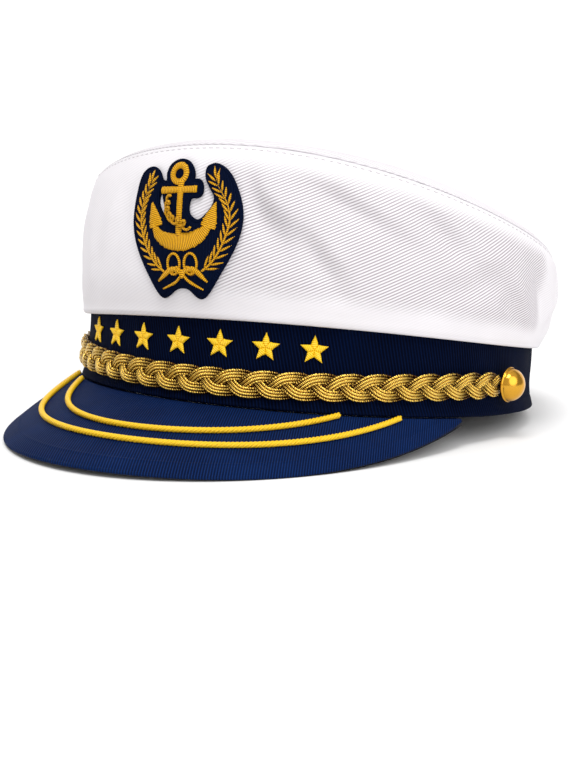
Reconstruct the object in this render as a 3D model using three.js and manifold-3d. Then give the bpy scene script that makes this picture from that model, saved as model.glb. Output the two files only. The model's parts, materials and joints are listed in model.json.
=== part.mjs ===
// Captain's hat: a soft white crown, a navy band and peak, a plaited gold cord between two
// buttons, seven stitched stars and a stitched anchor patch.
// Millimetres, +Z up. The peak points along -Y and the wearer's left is +X.
import * as THREE from 'three';
import { mergeVertices } from 'three/addons/utils/BufferGeometryUtils.js';
import { TessellateModifier } from 'three/addons/modifiers/TessellateModifier.js';
import Module from 'manifold-3d';

const wasm = await Module();
wasm.setup();

// Driving dimensions in millimetres and degrees
const clearance = 0.3;

const bandHalfWidth = 92;
const bandHalfLength = 98;
const bandHeight = 38;
const bandThickness = 3;
const bandFlare = 2.4;
const bandFlareHeight = 14;

const clothThickness = 1.6;
const foldOverhang = 3.2;
const foldDrop = 11.4;
const crownHeight = 37.1;
const crownSlope = 17.2;
const crownLean = 1.9;
const seamFrontOverhang = 2.1;
const seamSideOverhang = 2.7;
const seamBackOverhang = 3;
const frontBulge = 5.5;
const sideBulge = 3.7;
const backBulge = 4;
const frontPuff = 5.6;
const sidePuff = 6.5;
const backPuff = 5;
const topDome = 2;

const peakReach = 60.5;
const peakSpan = 70.4;
const peakCornerLip = 0.6;
const peakCentre = 24.3;
const peakDrop = 18.5;
const peakFall = 2.07;
const peakBulge = 1.2;
const peakSideHollow = 1;
const peakThickness = 2.4;

const peakCordDiameter = 2.3;
const outerCordFrontInset = 18.5;
const outerCordSideInset = 9;
const innerCordFrontInset = 28.5;
const innerCordSideInset = 19;

const braidWidth = 11.3;
const braidPitch = 31.5;
const braidStrandWidth = 5.6;
const braidStrandThickness = 1.5;
const braidLift = 0.6;
const braidHeight = 12.5;
const braidSag = 3.8;

const buttonDiameter = 14;
const buttonDome = 6.5;
const buttonRim = 0.9;
const buttonShankDiameter = 4;
const buttonAngle = 86.4;

const starDiameter = 11.2;
const starWaist = 0.45;
const starCount = 7;
const starArms = 5;
const starPitch = 11;
const stitchThickness = 1.1;

const patchHalfWidth = 24;
const patchHalfHeight = 25.3;
const patchThickness = 1.8;
const patchSeat = 0.55;
const patchHeight = 64;
const patchAcross = 2.4;
const patchTurn = 5;
const ropeDiameter = 1.3;

// Places across the peak, from the band 0 to the rim 1
const peakReaches = [0, 0.2, 0.45, 0.7, 0.88, 0.985];

// How finely curves are stepped
const roundSteps = 46;
const peakSteps = 30;
const cordSteps = 30;
const cordSides = 6;
const braidSides = 5;
const braidStepsPerPitch = 6;
const buttonSteps = 14;
const foldSteps = 4;
const domeSteps = [0.15, 0.42, 0.7];
const patchFacet = 9;
const tessellateRounds = 14;
const outlineSteps = 50;
const curvePieces = 4;
const tailSteps = 3;
const halvings = 30;
const slopeStep = 0.02;

// The steepest lean that is tried when the hat is set down, in degrees
const mostTilt = 30;

// Waves of the crown's lower fold and of its top seam round the head: how often they turn,
// their height as a share of the crown's slope, and where they are highest in degrees
const foldWaves = [
  { turns: 1, height: 0.21, lead: 28.5 },
  { turns: 2, height: 0.12, lead: 26.1 },
];
const seamWaves = [
  { turns: 1, height: 0.89, lead: 2.7 },
  { turns: 2, height: 0.34, lead: 19.5 },
];

// The crown's wall from its fold, rise 0, to its top seam, rise 1, with shares of the bulge
const crownProfile = [
  { rise: 0.05, bulge: 0.22 },
  { rise: 0.2, bulge: 0.72 },
  { rise: 0.42, bulge: 1 },
  { rise: 0.64, bulge: 0.97 },
  { rise: 0.83, bulge: 0.7 },
  { rise: 0.94, bulge: 0.34 },
  { rise: 1, bulge: 0 },
];

// Soft dents of the crown: place, spread and depth as shares of a half turn, the wall's
// height and the cloth's thickness, with the lean of a slanting crease
const crownDents = [
  { around: 0.19, rise: 0.62, width: 0.05, height: 0.5, depth: 0.9, lean: 0.12 },
  { around: 0.34, rise: 0.72, width: 0.06, height: 0.3, depth: 0.8, lean: 0.1 },
  { around: 0.29, rise: 0.36, width: 0.06, height: 0.26, depth: 0.6, lean: 0.05 },
  { around: 0.53, rise: 0.5, width: 0.06, height: 0.4, depth: 0.9, lean: -0.08 },
  { around: -0.3, rise: 0.55, width: 0.07, height: 0.4, depth: 0.9, lean: -0.1 },
  { around: -0.55, rise: 0.5, width: 0.06, height: 0.4, depth: 0.8, lean: 0.08 },
  { around: 0.86, rise: 0.45, width: 0.07, height: 0.4, depth: 0.8, lean: 0.06 },
];

// The share of the wall under the top seam where dents fade out
const dentFade = 0.17;

// Rings of the top panel: share of its radius, of the edge puff and of the dome
const topProfile = [
  { radius: 1, puff: 0, dome: 0 },
  { radius: 0.965, puff: 0.55, dome: 0.03 },
  { radius: 0.9, puff: 0.9, dome: 0.1 },
  { radius: 0.72, puff: 1, dome: 0.4 },
  { radius: 0.4, puff: 1, dome: 0.85 },
];

// The patch's outline, clockwise from its top, in shares of its half width and half height
const patchOutline = [
  { across: -0.1, up: 1 },
  { across: 0.06, up: 0.97 },
  { across: 0.16, up: 0.88 },
  { across: 0.2, up: 0.78 },
  { across: 0.2, up: 0.71 },
  { across: 0.3, up: 0.7 },
  { across: 0.36, up: 0.64 },
  { across: 0.37, up: 0.52 },
  { across: 0.31, up: 0.45 },
  { across: 0.17, up: 0.43 },
  { across: 0.14, up: 0.27 },
  { across: 0.2, up: 0.17 },
  { across: 0.32, up: 0.12 },
  { across: 0.45, up: 0.2 },
  { across: 0.56, up: 0.33 },
  { across: 0.58, up: 0.45 },
  { across: 0.5, up: 0.58 },
  { across: 0.42, up: 0.72 },
  { across: 0.42, up: 0.86 },
  { across: 0.5, up: 0.91 },
  { across: 0.6, up: 0.91 },
  { across: 0.74, up: 0.84 },
  { across: 0.87, up: 0.7 },
  { across: 0.97, up: 0.5 },
  { across: 1.03, up: 0.3 },
  { across: 1.04, up: 0.1 },
  { across: 0.98, up: -0.15 },
  { across: 0.83, up: -0.43 },
  { across: 0.6, up: -0.76 },
  { across: 0.45, up: -0.94 },
  { across: 0.35, up: -1 },
  { across: 0.26, up: -0.97 },
  { across: 0.14, up: -0.87 },
  { across: 0.01, up: -0.84 },
  { across: -0.12, up: -0.87 },
  { across: -0.26, up: -0.95 },
  { across: -0.36, up: -0.98 },
  { across: -0.46, up: -0.91 },
  { across: -0.6, up: -0.69 },
  { across: -0.76, up: -0.42 },
  { across: -0.88, up: -0.15 },
  { across: -0.94, up: 0.08 },
  { across: -0.94, up: 0.3 },
  { across: -0.92, up: 0.5 },
  { across: -0.89, up: 0.7 },
  { across: -0.84, up: 0.83 },
  { across: -0.74, up: 0.9 },
  { across: -0.62, up: 0.91 },
  { across: -0.5, up: 0.85 },
  { across: -0.42, up: 0.74 },
  { across: -0.36, up: 0.7 },
  { across: -0.3, up: 0.71 },
  { across: -0.31, up: 0.82 },
  { across: -0.25, up: 0.94 },
];

// The narrow gap beside the rope
const patchGap = [
  { across: -0.4, up: 0.55 },
  { across: -0.44, up: 0.42 },
  { across: -0.38, up: 0.28 },
  { across: -0.26, up: 0.16 },
  { across: -0.2, up: 0.13 },
  { across: -0.29, up: 0.28 },
  { across: -0.35, up: 0.42 },
];

// The anchor's crescent arms with their flukes
const anchorArms = [
  { across: -0.53, up: 0.39 },
  { across: -0.4, up: 0.2 },
  { across: -0.32, up: 0.11 },
  { across: -0.4, up: 0.06 },
  { across: -0.36, up: -0.01 },
  { across: -0.24, up: -0.07 },
  { across: -0.1, up: -0.08 },
  { across: 0.03, up: -0.04 },
  { across: 0.18, up: -0.04 },
  { across: 0.3, up: -0.06 },
  { across: 0.38, up: -0.01 },
  { across: 0.45, up: 0.04 },
  { across: 0.38, up: 0.08 },
  { across: 0.5, up: 0.2 },
  { across: 0.63, up: 0.35 },
  { across: 0.63, up: 0.14 },
  { across: 0.59, up: 0 },
  { across: 0.5, up: -0.12 },
  { across: 0.36, up: -0.22 },
  { across: 0.2, up: -0.27 },
  { across: 0.03, up: -0.29 },
  { across: -0.15, up: -0.27 },
  { across: -0.33, up: -0.2 },
  { across: -0.46, up: -0.1 },
  { across: -0.53, up: 0.01 },
  { across: -0.56, up: 0.16 },
];

// The rope's zigzag beside the shank and its turn over the shank's foot
const ropeRoute = [
  { across: -0.22, up: 0.46, over: 0 },
  { across: -0.14, up: 0.43, over: 0 },
  { across: -0.25, up: 0.37, over: 0 },
  { across: -0.15, up: 0.31, over: 0 },
  { across: -0.23, up: 0.25, over: 0 },
  { across: -0.16, up: 0.18, over: 0.2 },
  { across: -0.05, up: 0.14, over: 1 },
  { across: 0.08, up: 0.1, over: 1 },
  { across: 0.18, up: 0.03, over: 0.8 },
];

// Stem of a laurel branch, from the bow to the tip, for the wearer's left, the shift of both
// branches to that side, and the belly and tip of a leaf along and out from its root
const branchStem = [
  { across: 0.34, up: -0.61 },
  { across: 0.5, up: -0.49 },
  { across: 0.64, up: -0.31 },
  { across: 0.74, up: -0.11 },
  { across: 0.8, up: 0.1 },
  { across: 0.8, up: 0.3 },
  { across: 0.75, up: 0.47 },
  { across: 0.67, up: 0.64 },
  { across: 0.65, up: 0.72 },
];
const branchShift = 0.05;
const leafPairs = 12;
const leafRoot = 0.02;
const leafBelly = { along: 0.07, out: 0.072 };
const leafTip = { along: 0.19, out: 0.14 };

// Loops, knot and tails of the bow
const bowLoops = [
  { across: -0.1, up: -0.5, halfWidth: 0.11, halfHeight: 0.15 },
  { across: 0.2, up: -0.5, halfWidth: 0.11, halfHeight: 0.15 },
];
const bowTails = [
  { from: [0.05, -0.64], via: [-0.07, -0.5], to: [-0.17, -0.67] },
  { from: [0.05, -0.64], via: [0.17, -0.5], to: [0.27, -0.67] },
  { from: [0.05, -0.64], via: [-0.1, -0.75], to: [-0.33, -0.85] },
  { from: [0.05, -0.64], via: [0.2, -0.75], to: [0.4, -0.87] },
];
const bowStrip = 0.055;
const knotRadius = 0.06;

// The anchor's ring, stock and shank
const anchorRing = { across: -0.05, up: 0.79, radius: 0.17, hole: 0.078 };
const anchorStock = { across: -0.03, up: 0.56, halfWidth: 0.32, halfHeight: 0.052 };
const anchorShank = { across: 0, top: 0.68, foot: -0.1, halfWidth: 0.05 };

const turn = Math.PI * 2;
const rad = THREE.MathUtils.degToRad;
const lerp = THREE.MathUtils.lerp;

// Solids from loops of points
function solid(points, faces) {
  const geometry = new THREE.BufferGeometry();
  const corners = points.flatMap((p) => [p.x, p.y, p.z]);
  geometry.setAttribute('position', new THREE.Float32BufferAttribute(corners, 3));
  geometry.setIndex(faces);
  return outward(geometry);
}

// Turns every face the other way if the faces point in
function outward(geometry) {
  const position = geometry.getAttribute('position');
  const index = geometry.getIndex();
  const a = new THREE.Vector3();
  const b = new THREE.Vector3();
  const c = new THREE.Vector3();
  let volume = 0;
  for (let i = 0; i < index.count; i += 3) {
    a.fromBufferAttribute(position, index.getX(i));
    b.fromBufferAttribute(position, index.getX(i + 1));
    c.fromBufferAttribute(position, index.getX(i + 2));
    volume += a.dot(b.cross(c));
  }
  if (volume < 0) {
    for (let i = 0; i < index.count; i += 3) {
      const second = index.getX(i + 1);
      index.setX(i + 1, index.getX(i + 2));
      index.setX(i + 2, second);
    }
  }
  geometry.computeVertexNormals();
  return geometry;
}

// A skin over loops with equal numbers of points, which closes on itself or is capped
function loft(loops, joined) {
  const count = loops[0].length;
  const points = loops.flat();
  const faces = [];
  const spans = joined ? loops.length : loops.length - 1;
  for (let i = 0; i < spans; i += 1) {
    const near = i * count;
    const far = ((i + 1) % loops.length) * count;
    for (let j = 0; j < count; j += 1) {
      const next = (j + 1) % count;
      faces.push(near + j, near + next, far + next);
      faces.push(near + j, far + next, far + j);
    }
  }
  if (!joined) {
    capLoop(points, faces, 0, count, false);
    capLoop(points, faces, (loops.length - 1) * count, count, true);
  }
  return solid(points, faces);
}

function capLoop(points, faces, start, count, forward) {
  const centre = new THREE.Vector3();
  for (let j = 0; j < count; j += 1) {
    centre.addScaledVector(points[start + j], 1 / count);
  }
  points.push(centre);
  for (let j = 0; j < count; j += 1) {
    const here = start + j;
    const next = start + ((j + 1) % count);
    faces.push(points.length - 1, forward ? here : next, forward ? next : here);
  }
}

// A tube round a path, with its own across and outward directions at every step
function tube(stations, halfWidth, halfThickness, sides) {
  const loops = stations.map((station) => {
    const loop = [];
    for (let j = 0; j < sides; j += 1) {
      const angle = (turn * (j + 0.5)) / sides;
      const point = station.centre.clone();
      point.addScaledVector(station.across, Math.cos(angle) * halfWidth);
      point.addScaledVector(station.out, Math.sin(angle) * halfThickness);
      loop.push(point);
    }
    return loop;
  });
  return loft(loops, false);
}

// Joins and cuts of closed meshes
function toManifold(geometry) {
  const bare = geometry.clone();
  bare.deleteAttribute('normal');
  bare.deleteAttribute('uv');
  const merged = mergeVertices(bare);
  const vertProperties = new Float32Array(merged.getAttribute('position').array);
  const triVerts = new Uint32Array(merged.getIndex().array);
  return new wasm.Manifold(new wasm.Mesh({ numProp: 3, vertProperties, triVerts }));
}

function fromManifold(body) {
  const mesh = body.getMesh();
  const geometry = new THREE.BufferGeometry();
  geometry.setAttribute('position', new THREE.Float32BufferAttribute(mesh.vertProperties, 3));
  geometry.setIndex(Array.from(mesh.triVerts));
  geometry.computeVertexNormals();
  return geometry;
}

function join(geometries) {
  const bodies = geometries.map(toManifold);
  return fromManifold(bodies.reduce((sum, body) => sum.add(body)));
}

// The oval of the head, grown by a distance, with angle 0 at the front
function oval(angle, grown, height) {
  const x = (bandHalfWidth + grown) * Math.sin(angle);
  const y = -(bandHalfLength + grown) * Math.cos(angle);
  return new THREE.Vector3(x, y, height);
}

function ovalLoop(grownAt, heightAt) {
  const loop = [];
  for (let i = 0; i < roundSteps; i += 1) {
    const angle = (turn * i) / roundSteps;
    loop.push(oval(angle, grownAt(angle), heightAt(angle)));
  }
  return loop;
}

// The band's outer face stands out towards its lower rim
function bandFace(height) {
  const share = THREE.MathUtils.clamp(1 - height / bandFlareHeight, 0, 1);
  return bandFlare * share * share;
}

function headBand() {
  const heights = [0, bandFlareHeight / 2, bandFlareHeight, bandHeight];
  const outer = heights.map((z) => ovalLoop(() => bandFace(z), () => z));
  const inner = heights.map((z) => ovalLoop(() => bandFace(z) - bandThickness, () => z));
  return loft([...outer, ...inner.reverse()], true);
}

// The crown's wall
function sideShare(angle) {
  return Math.sin(angle) ** 2;
}

function aroundValue(angle, front, side, back) {
  const end = Math.cos(angle) > 0 ? front : back;
  return lerp(end, side, sideShare(angle));
}

function waveHeight(waves, angle) {
  let share = 0;
  for (const wave of waves) {
    share += wave.height * Math.cos(wave.turns * (angle - rad(wave.lead)));
  }
  return crownSlope * share;
}

function foldHeight(angle) {
  return bandHeight - foldDrop + waveHeight(foldWaves, angle);
}

function seamHeight(angle) {
  return bandHeight + crownHeight + waveHeight(seamWaves, angle);
}

function seamOverhang(angle) {
  return aroundValue(angle, seamFrontOverhang, seamSideOverhang, seamBackOverhang);
}

function bulgeShare(rise) {
  const rows = [{ rise: 0, bulge: 0 }, ...crownProfile];
  const above = rows.findIndex((row) => row.rise >= rise);
  if (above <= 0) return 0;
  const low = rows[above - 1];
  const high = rows[above];
  const share = (rise - low.rise) / (high.rise - low.rise);
  return lerp(low.bulge, high.bulge, share);
}

function dentDepth(angle, rise) {
  let depth = 0;
  for (const dent of crownDents) {
    const place = Math.PI * (dent.around + dent.lean * (rise - dent.rise));
    const apart = Math.atan2(Math.sin(angle - place), Math.cos(angle - place));
    const sideways = apart / (Math.PI * dent.width);
    const upwards = (rise - dent.rise) / dent.height;
    depth += dent.depth * clothThickness * Math.exp(-sideways * sideways - upwards * upwards);
  }
  return depth * Math.min(1, (1 - rise) / dentFade);
}

function crownOverhang(angle, rise) {
  const straight = lerp(foldOverhang, seamOverhang(angle), rise);
  const bulge = aroundValue(angle, frontBulge, sideBulge, backBulge) * bulgeShare(rise);
  return straight + bulge - dentDepth(angle, rise);
}

function crownPoint(angle, rise, inset) {
  const height = lerp(foldHeight(angle) + foldOverhang / 2, seamHeight(angle), rise);
  const point = oval(angle, crownOverhang(angle, rise) - inset, height);
  point.x += crownLean * Math.sqrt(rise);
  return point;
}

function crownSide() {
  const foldRadius = (foldOverhang - clearance) / 2;
  const foldBottom = (angle) => foldHeight(angle) + foldRadius;
  const wall = crownProfile.map((row) => row.rise);
  const loops = [];
  loops.push(ovalLoop(() => clearance, () => bandHeight - clothThickness));
  loops.push(ovalLoop(() => clearance, foldBottom));
  for (let i = 1; i < foldSteps; i += 1) {
    const swing = (Math.PI * i) / foldSteps;
    const grown = clearance + foldRadius * (1 - Math.cos(swing));
    loops.push(ovalLoop(() => grown, (a) => foldBottom(a) - foldRadius * Math.sin(swing)));
  }
  for (const rise of wall) {
    loops.push(wallLoop(rise, 0));
  }
  for (const rise of wall.slice().reverse().filter(everySecond)) {
    loops.push(wallLoop(rise, clothThickness));
  }
  const innerFold = (angle) => foldBottom(angle) + clothThickness / 2;
  loops.push(ovalLoop(() => clearance + clothThickness, innerFold));
  loops.push(ovalLoop(() => clearance + clothThickness, () => bandHeight - clothThickness));
  return loft(loops, true);
}

function wallLoop(rise, inset) {
  const loop = [];
  for (let i = 0; i < roundSteps; i += 1) {
    loop.push(crownPoint((turn * i) / roundSteps, rise, inset));
  }
  return loop;
}

function everySecond(row, i) {
  return i % 2 === 0;
}

// The top panel, puffed up just inside its seam
function topLoop(row, inset) {
  const loop = [];
  const edgeInset = row.radius === 1 ? 0 : inset;
  for (let i = 0; i < roundSteps; i += 1) {
    const angle = (turn * i) / roundSteps;
    const edge = oval(angle, seamOverhang(angle) - inset, seamHeight(angle));
    const puff = aroundValue(angle, frontPuff, sidePuff, backPuff);
    const rise = clearance + puff * row.puff + topDome * row.dome - edgeInset;
    const mean = bandHeight + crownHeight;
    const height = lerp(mean, edge.z, row.radius) + rise;
    loop.push(new THREE.Vector3(edge.x * row.radius + crownLean, edge.y * row.radius, height));
  }
  return loop;
}

function crownTop() {
  const outer = topProfile.map((row) => topLoop(row, 0));
  const inner = topProfile.filter(everySecond).map((row) => topLoop(row, clothThickness));
  return loft([...inner.reverse(), ...outer], false);
}

// The peak
const cornerPoint = oval(rad(peakSpan), bandFlare, 0);
const peakHalfLength = bandHalfLength + peakReach - peakCentre;
const peakEndAngle = Math.acos((-peakCentre - cornerPoint.y) / peakHalfLength);
const peakHalfWidth = (cornerPoint.x + peakCornerLip) / Math.sin(peakEndAngle);
const peakLength = cornerPoint.y + bandHalfLength + peakReach;

function peakEdge(share) {
  const angle = peakEndAngle * share;
  const x = peakHalfWidth * Math.sin(angle);
  const y = -peakCentre - peakHalfLength * Math.cos(angle);
  const back = THREE.MathUtils.clamp((y + bandHalfLength + peakReach) / peakLength, 0, 1);
  const z = -clearance - peakDrop * (1 - back ** peakFall);
  return new THREE.Vector3(x, y, z);
}

function peakPoint(share, reach) {
  const root = oval(rad(peakSpan) * share, bandFlare, -clearance);
  const edge = peakEdge(share);
  const span = Math.hypot(edge.x - root.x, edge.y - root.y) / peakReach;
  const point = root.clone().lerp(edge, reach);
  const bulge = lerp(peakBulge, -peakSideHollow, share * share);
  point.z += 4 * reach * (1 - reach) * bulge * span;
  return point;
}

function peak() {
  const loops = [];
  for (let i = 0; i <= peakSteps; i += 1) {
    const share = (2 * i) / peakSteps - 1;
    const tuck = oval(rad(peakSpan) * share, bandFlare - bandThickness, -clearance);
    const top = [tuck, ...peakReaches.map((reach) => peakPoint(share, reach))];
    const under = top.filter(everySecond);
    const bottom = under.map((p) => new THREE.Vector3(p.x, p.y, p.z - peakThickness)).reverse();
    const rim = peakPoint(share, 1);
    rim.z -= peakThickness / 2;
    loops.push([...top, rim, ...bottom]);
  }
  return loft(loops, false);
}

// Cords laid on the peak
function insideCord(point, halfWidth, halfLength) {
  const across = point.x / halfWidth;
  const along = (point.y + peakCentre) / halfLength;
  return across * across + along * along < 1;
}

function peakCord(sideInset, frontInset) {
  const halfWidth = peakHalfWidth - sideInset;
  const halfLength = peakHalfLength - frontInset;
  const radius = peakCordDiameter / 2;
  const startsInside = (share) => {
    const root = peakPoint(share, 0);
    const edge = peakPoint(share, 1);
    const span = Math.hypot(edge.x - root.x, edge.y - root.y);
    const start = peakPoint(share, (radius + clearance) / span);
    return insideCord(start, halfWidth, halfLength);
  };
  const endShare = halve(startsInside);
  const centres = [];
  for (let i = 0; i <= cordSteps; i += 1) {
    const share = endShare * ((2 * i) / cordSteps - 1);
    const reach = halve((value) => insideCord(peakPoint(share, value), halfWidth, halfLength));
    const centre = peakPoint(share, reach);
    centre.z += radius + clearance;
    centres.push(centre);
  }
  const path = new THREE.CatmullRomCurve3(centres);
  return roundCord(path, radius, cordSteps);
}

// The share between 0 and 1 where a test turns from true to false
function halve(test) {
  let low = 0;
  let high = 1;
  for (let i = 0; i < halvings; i += 1) {
    const middle = (low + high) / 2;
    if (test(middle)) low = middle;
    else high = middle;
  }
  return low;
}

function roundCord(path, radius, steps) {
  const section = new THREE.Shape();
  section.absarc(0, 0, radius, 0, turn, false);
  const options = { steps, extrudePath: path, curveSegments: cordSides / 2 };
  const geometry = new THREE.ExtrudeGeometry(section, options);
  return weld(geometry);
}

function weld(geometry) {
  geometry.deleteAttribute('normal');
  geometry.deleteAttribute('uv');
  const merged = mergeVertices(geometry);
  return outward(merged);
}

// The three-strand plait round the front of the band
function braidCentre(angle) {
  const dip = Math.cos(angle);
  return braidHeight - braidSag * dip * dip;
}

function bandStation(angle, up, out) {
  const height = braidCentre(angle) + up;
  return oval(angle, bandFace(height) + out, height);
}

function braidStrand(strand, endAngle) {
  const radius = (bandHalfWidth + bandHalfLength) / 2;
  const length = 2 * endAngle * radius;
  const steps = Math.round((length / braidPitch) * braidStepsPerPitch);
  const swing = (braidWidth - braidStrandWidth) / 2;
  const lift = braidLift;
  const middle = clearance + braidStrandThickness / 2 + lift;
  const stations = [];
  for (let i = 0; i <= steps; i += 1) {
    const along = i / steps;
    const phase = turn * ((length * along) / braidPitch + strand / 3);
    const angle = endAngle * (2 * along - 1);
    const out = middle + lift * Math.sin(2 * phase);
    const up = swing * Math.sin(phase);
    const centre = bandStation(angle, up, out);
    const outDirection = bandStation(angle, up, out + 1).sub(centre).normalize();
    const climb = (turn * swing * Math.cos(phase)) / braidPitch;
    const ahead = bandStation(angle + 1 / radius, up + climb, out).sub(centre).normalize();
    const across = new THREE.Vector3().crossVectors(outDirection, ahead).normalize();
    stations.push({ centre, across, out: outDirection });
  }
  return tube(stations, braidStrandWidth / 2, braidStrandThickness / 2, braidSides);
}

function chinBraid() {
  const reach = (buttonShankDiameter / 2 + clearance + braidStrandWidth / 2) / bandHalfLength;
  const endAngle = rad(buttonAngle) - reach;
  return join([0, 1, 2].map((strand) => braidStrand(strand, endAngle)));
}

// Domed buttons on short shanks
function buttonProfile() {
  const radius = buttonDiameter / 2;
  const shank = buttonShankDiameter / 2;
  const base = braidStrandThickness + 2 * braidLift + clearance;
  const points = [new THREE.Vector2(0, 0), new THREE.Vector2(shank, 0)];
  points.push(new THREE.Vector2(shank, base));
  points.push(new THREE.Vector2(radius - buttonRim / 2, base));
  points.push(new THREE.Vector2(radius, base + buttonRim / 2));
  points.push(new THREE.Vector2(radius - buttonRim / 2, base + buttonRim));
  const domeRadius = radius - buttonRim;
  for (const share of domeSteps) {
    const swing = (Math.PI / 2) * share;
    const out = base + buttonRim + (buttonDome - buttonRim) * Math.sin(swing);
    points.push(new THREE.Vector2(domeRadius * Math.cos(swing), out));
  }
  points.push(new THREE.Vector2(0, base + buttonDome));
  return points;
}

function button() {
  return weld(new THREE.LatheGeometry(buttonProfile(), buttonSteps));
}

function placeButton(mesh, side) {
  const angle = side * rad(buttonAngle);
  const height = braidHeight;
  const seat = oval(angle, bandFace(height - buttonShankDiameter / 2) + clearance, height);
  const outer = oval(angle, bandFace(height) + clearance + 1, height);
  const direction = outer.sub(oval(angle, bandFace(height) + clearance, height)).normalize();
  mesh.position.copy(seat);
  mesh.quaternion.setFromUnitVectors(new THREE.Vector3(0, 1, 0), direction);
}

// Flat shapes that are stitched to a curved wall
function patchVector(row) {
  return new THREE.Vector2(row.across * patchHalfWidth, row.up * patchHalfHeight);
}

function smoothShape(rows, steps) {
  const curve = new THREE.CatmullRomCurve3(
    rows.map((row) => new THREE.Vector3(patchVector(row).x, patchVector(row).y, 0)),
    true,
    'centripetal',
  );
  return curve.getSpacedPoints(steps).slice(0, steps).map((p) => new THREE.Vector2(p.x, p.y));
}

function plate(shape, thickness) {
  const options = { depth: thickness, bevelEnabled: false, curveSegments: curvePieces };
  return weld(new THREE.ExtrudeGeometry(shape, options));
}

function bend(geometry, place) {
  const finer = new TessellateModifier(patchFacet, tessellateRounds).modify(geometry.toNonIndexed());
  finer.deleteAttribute('normal');
  const position = finer.getAttribute('position');
  const point = new THREE.Vector3();
  for (let i = 0; i < position.count; i += 1) {
    point.fromBufferAttribute(position, i);
    const placed = place(point.x, point.y, point.z);
    position.setXYZ(i, placed.x, placed.y, placed.z);
  }
  return weld(finer);
}

function onBand(angle, height, out) {
  return oval(angle, bandFace(height) + out, height);
}

function onCrown(across, up, out) {
  const middle = new THREE.Vector2();
  const flat = new THREE.Vector2(across, up).rotateAround(middle, rad(patchTurn));
  const angle = (flat.x + patchAcross) / (bandHalfWidth + foldOverhang + frontBulge);
  const low = foldHeight(angle) + foldOverhang / 2;
  const rise = (patchHeight + flat.y - low) / (seamHeight(angle) - low);
  const point = crownPoint(angle, rise, 0);
  const sideways = crownPoint(angle + slopeStep, rise, 0).sub(crownPoint(angle - slopeStep, rise, 0));
  const upwards = crownPoint(angle, rise + slopeStep, 0).sub(crownPoint(angle, rise - slopeStep, 0));
  const normal = sideways.cross(upwards).normalize();
  return point.addScaledVector(normal, out);
}

function bandStar(position) {
  const angle = rad(starPitch) * position;
  const shape = new THREE.Shape();
  for (let i = 0; i < 2 * starArms; i += 1) {
    const reach = (starDiameter / 2) * (i % 2 === 0 ? 1 : starWaist);
    const swing = (Math.PI * i) / starArms;
    const x = reach * Math.sin(swing);
    const y = reach * Math.cos(swing);
    if (i === 0) shape.moveTo(x, y);
    else shape.lineTo(x, y);
  }
  const around = bandHalfWidth + bandFlare / 2;
  const bareMiddle = (foldHeight(angle) + braidCentre(angle) + braidWidth / 2) / 2;
  const footGap = (starDiameter / 2) * (1 - Math.cos(Math.PI / starArms));
  const starHeight = bareMiddle - footGap / 2;
  const place = (x, y, z) => onBand(angle + x / around, starHeight + y, clearance + z);
  return bend(plate(shape, stitchThickness), place);
}

function patchPlace(x, y, z) {
  return onCrown(x, y, patchSeat + z);
}

function stitchPlace(x, y, z) {
  return onCrown(x, y, patchSeat + patchThickness + clearance + z);
}

function emblemBacking() {
  const shape = new THREE.Shape(smoothShape(patchOutline, outlineSteps));
  shape.holes.push(new THREE.Path(smoothShape(patchGap, patchGap.length * 2)));
  return bend(plate(shape, patchThickness), patchPlace);
}

function emblemAnchor() {
  const ring = new THREE.Shape();
  const ringMiddle = patchVector(anchorRing);
  ring.absarc(ringMiddle.x, ringMiddle.y, anchorRing.radius * patchHalfWidth, 0, turn, false);
  const hole = new THREE.Path();
  hole.absarc(ringMiddle.x, ringMiddle.y, anchorRing.hole * patchHalfWidth, 0, turn, true);
  ring.holes.push(hole);
  const stock = boxShape(anchorStock, anchorStock.halfWidth, anchorStock.halfHeight);
  const shankMiddle = { across: anchorShank.across, up: (anchorShank.top + anchorShank.foot) / 2 };
  const shankHalf = (anchorShank.top - anchorShank.foot) / 2;
  const shank = boxShape(shankMiddle, anchorShank.halfWidth, shankHalf);
  const arms = new THREE.Shape(anchorArms.map(patchVector));
  const plates = [ring, stock, shank, arms].map((shape) => plate(shape, stitchThickness));
  return bend(join(plates), stitchPlace);
}

function boxShape(middle, halfWidth, halfHeight) {
  const shape = new THREE.Shape();
  const corners = [[-1, -1], [1, -1], [1, 1], [-1, 1]];
  const points = corners.map(([right, upwards]) => patchVector({
    across: middle.across + right * halfWidth,
    up: middle.up + upwards * halfHeight,
  }));
  return shape.setFromPoints(points);
}

function emblemRope() {
  const radius = ropeDiameter / 2;
  const rows = ropeRoute.map((row) => {
    const flat = patchVector(row);
    const lift = radius + row.over * (stitchThickness + clearance);
    return stitchPlace(flat.x, flat.y, lift);
  });
  return roundCord(new THREE.CatmullRomCurve3(rows), radius, rows.length * 2);
}

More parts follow.
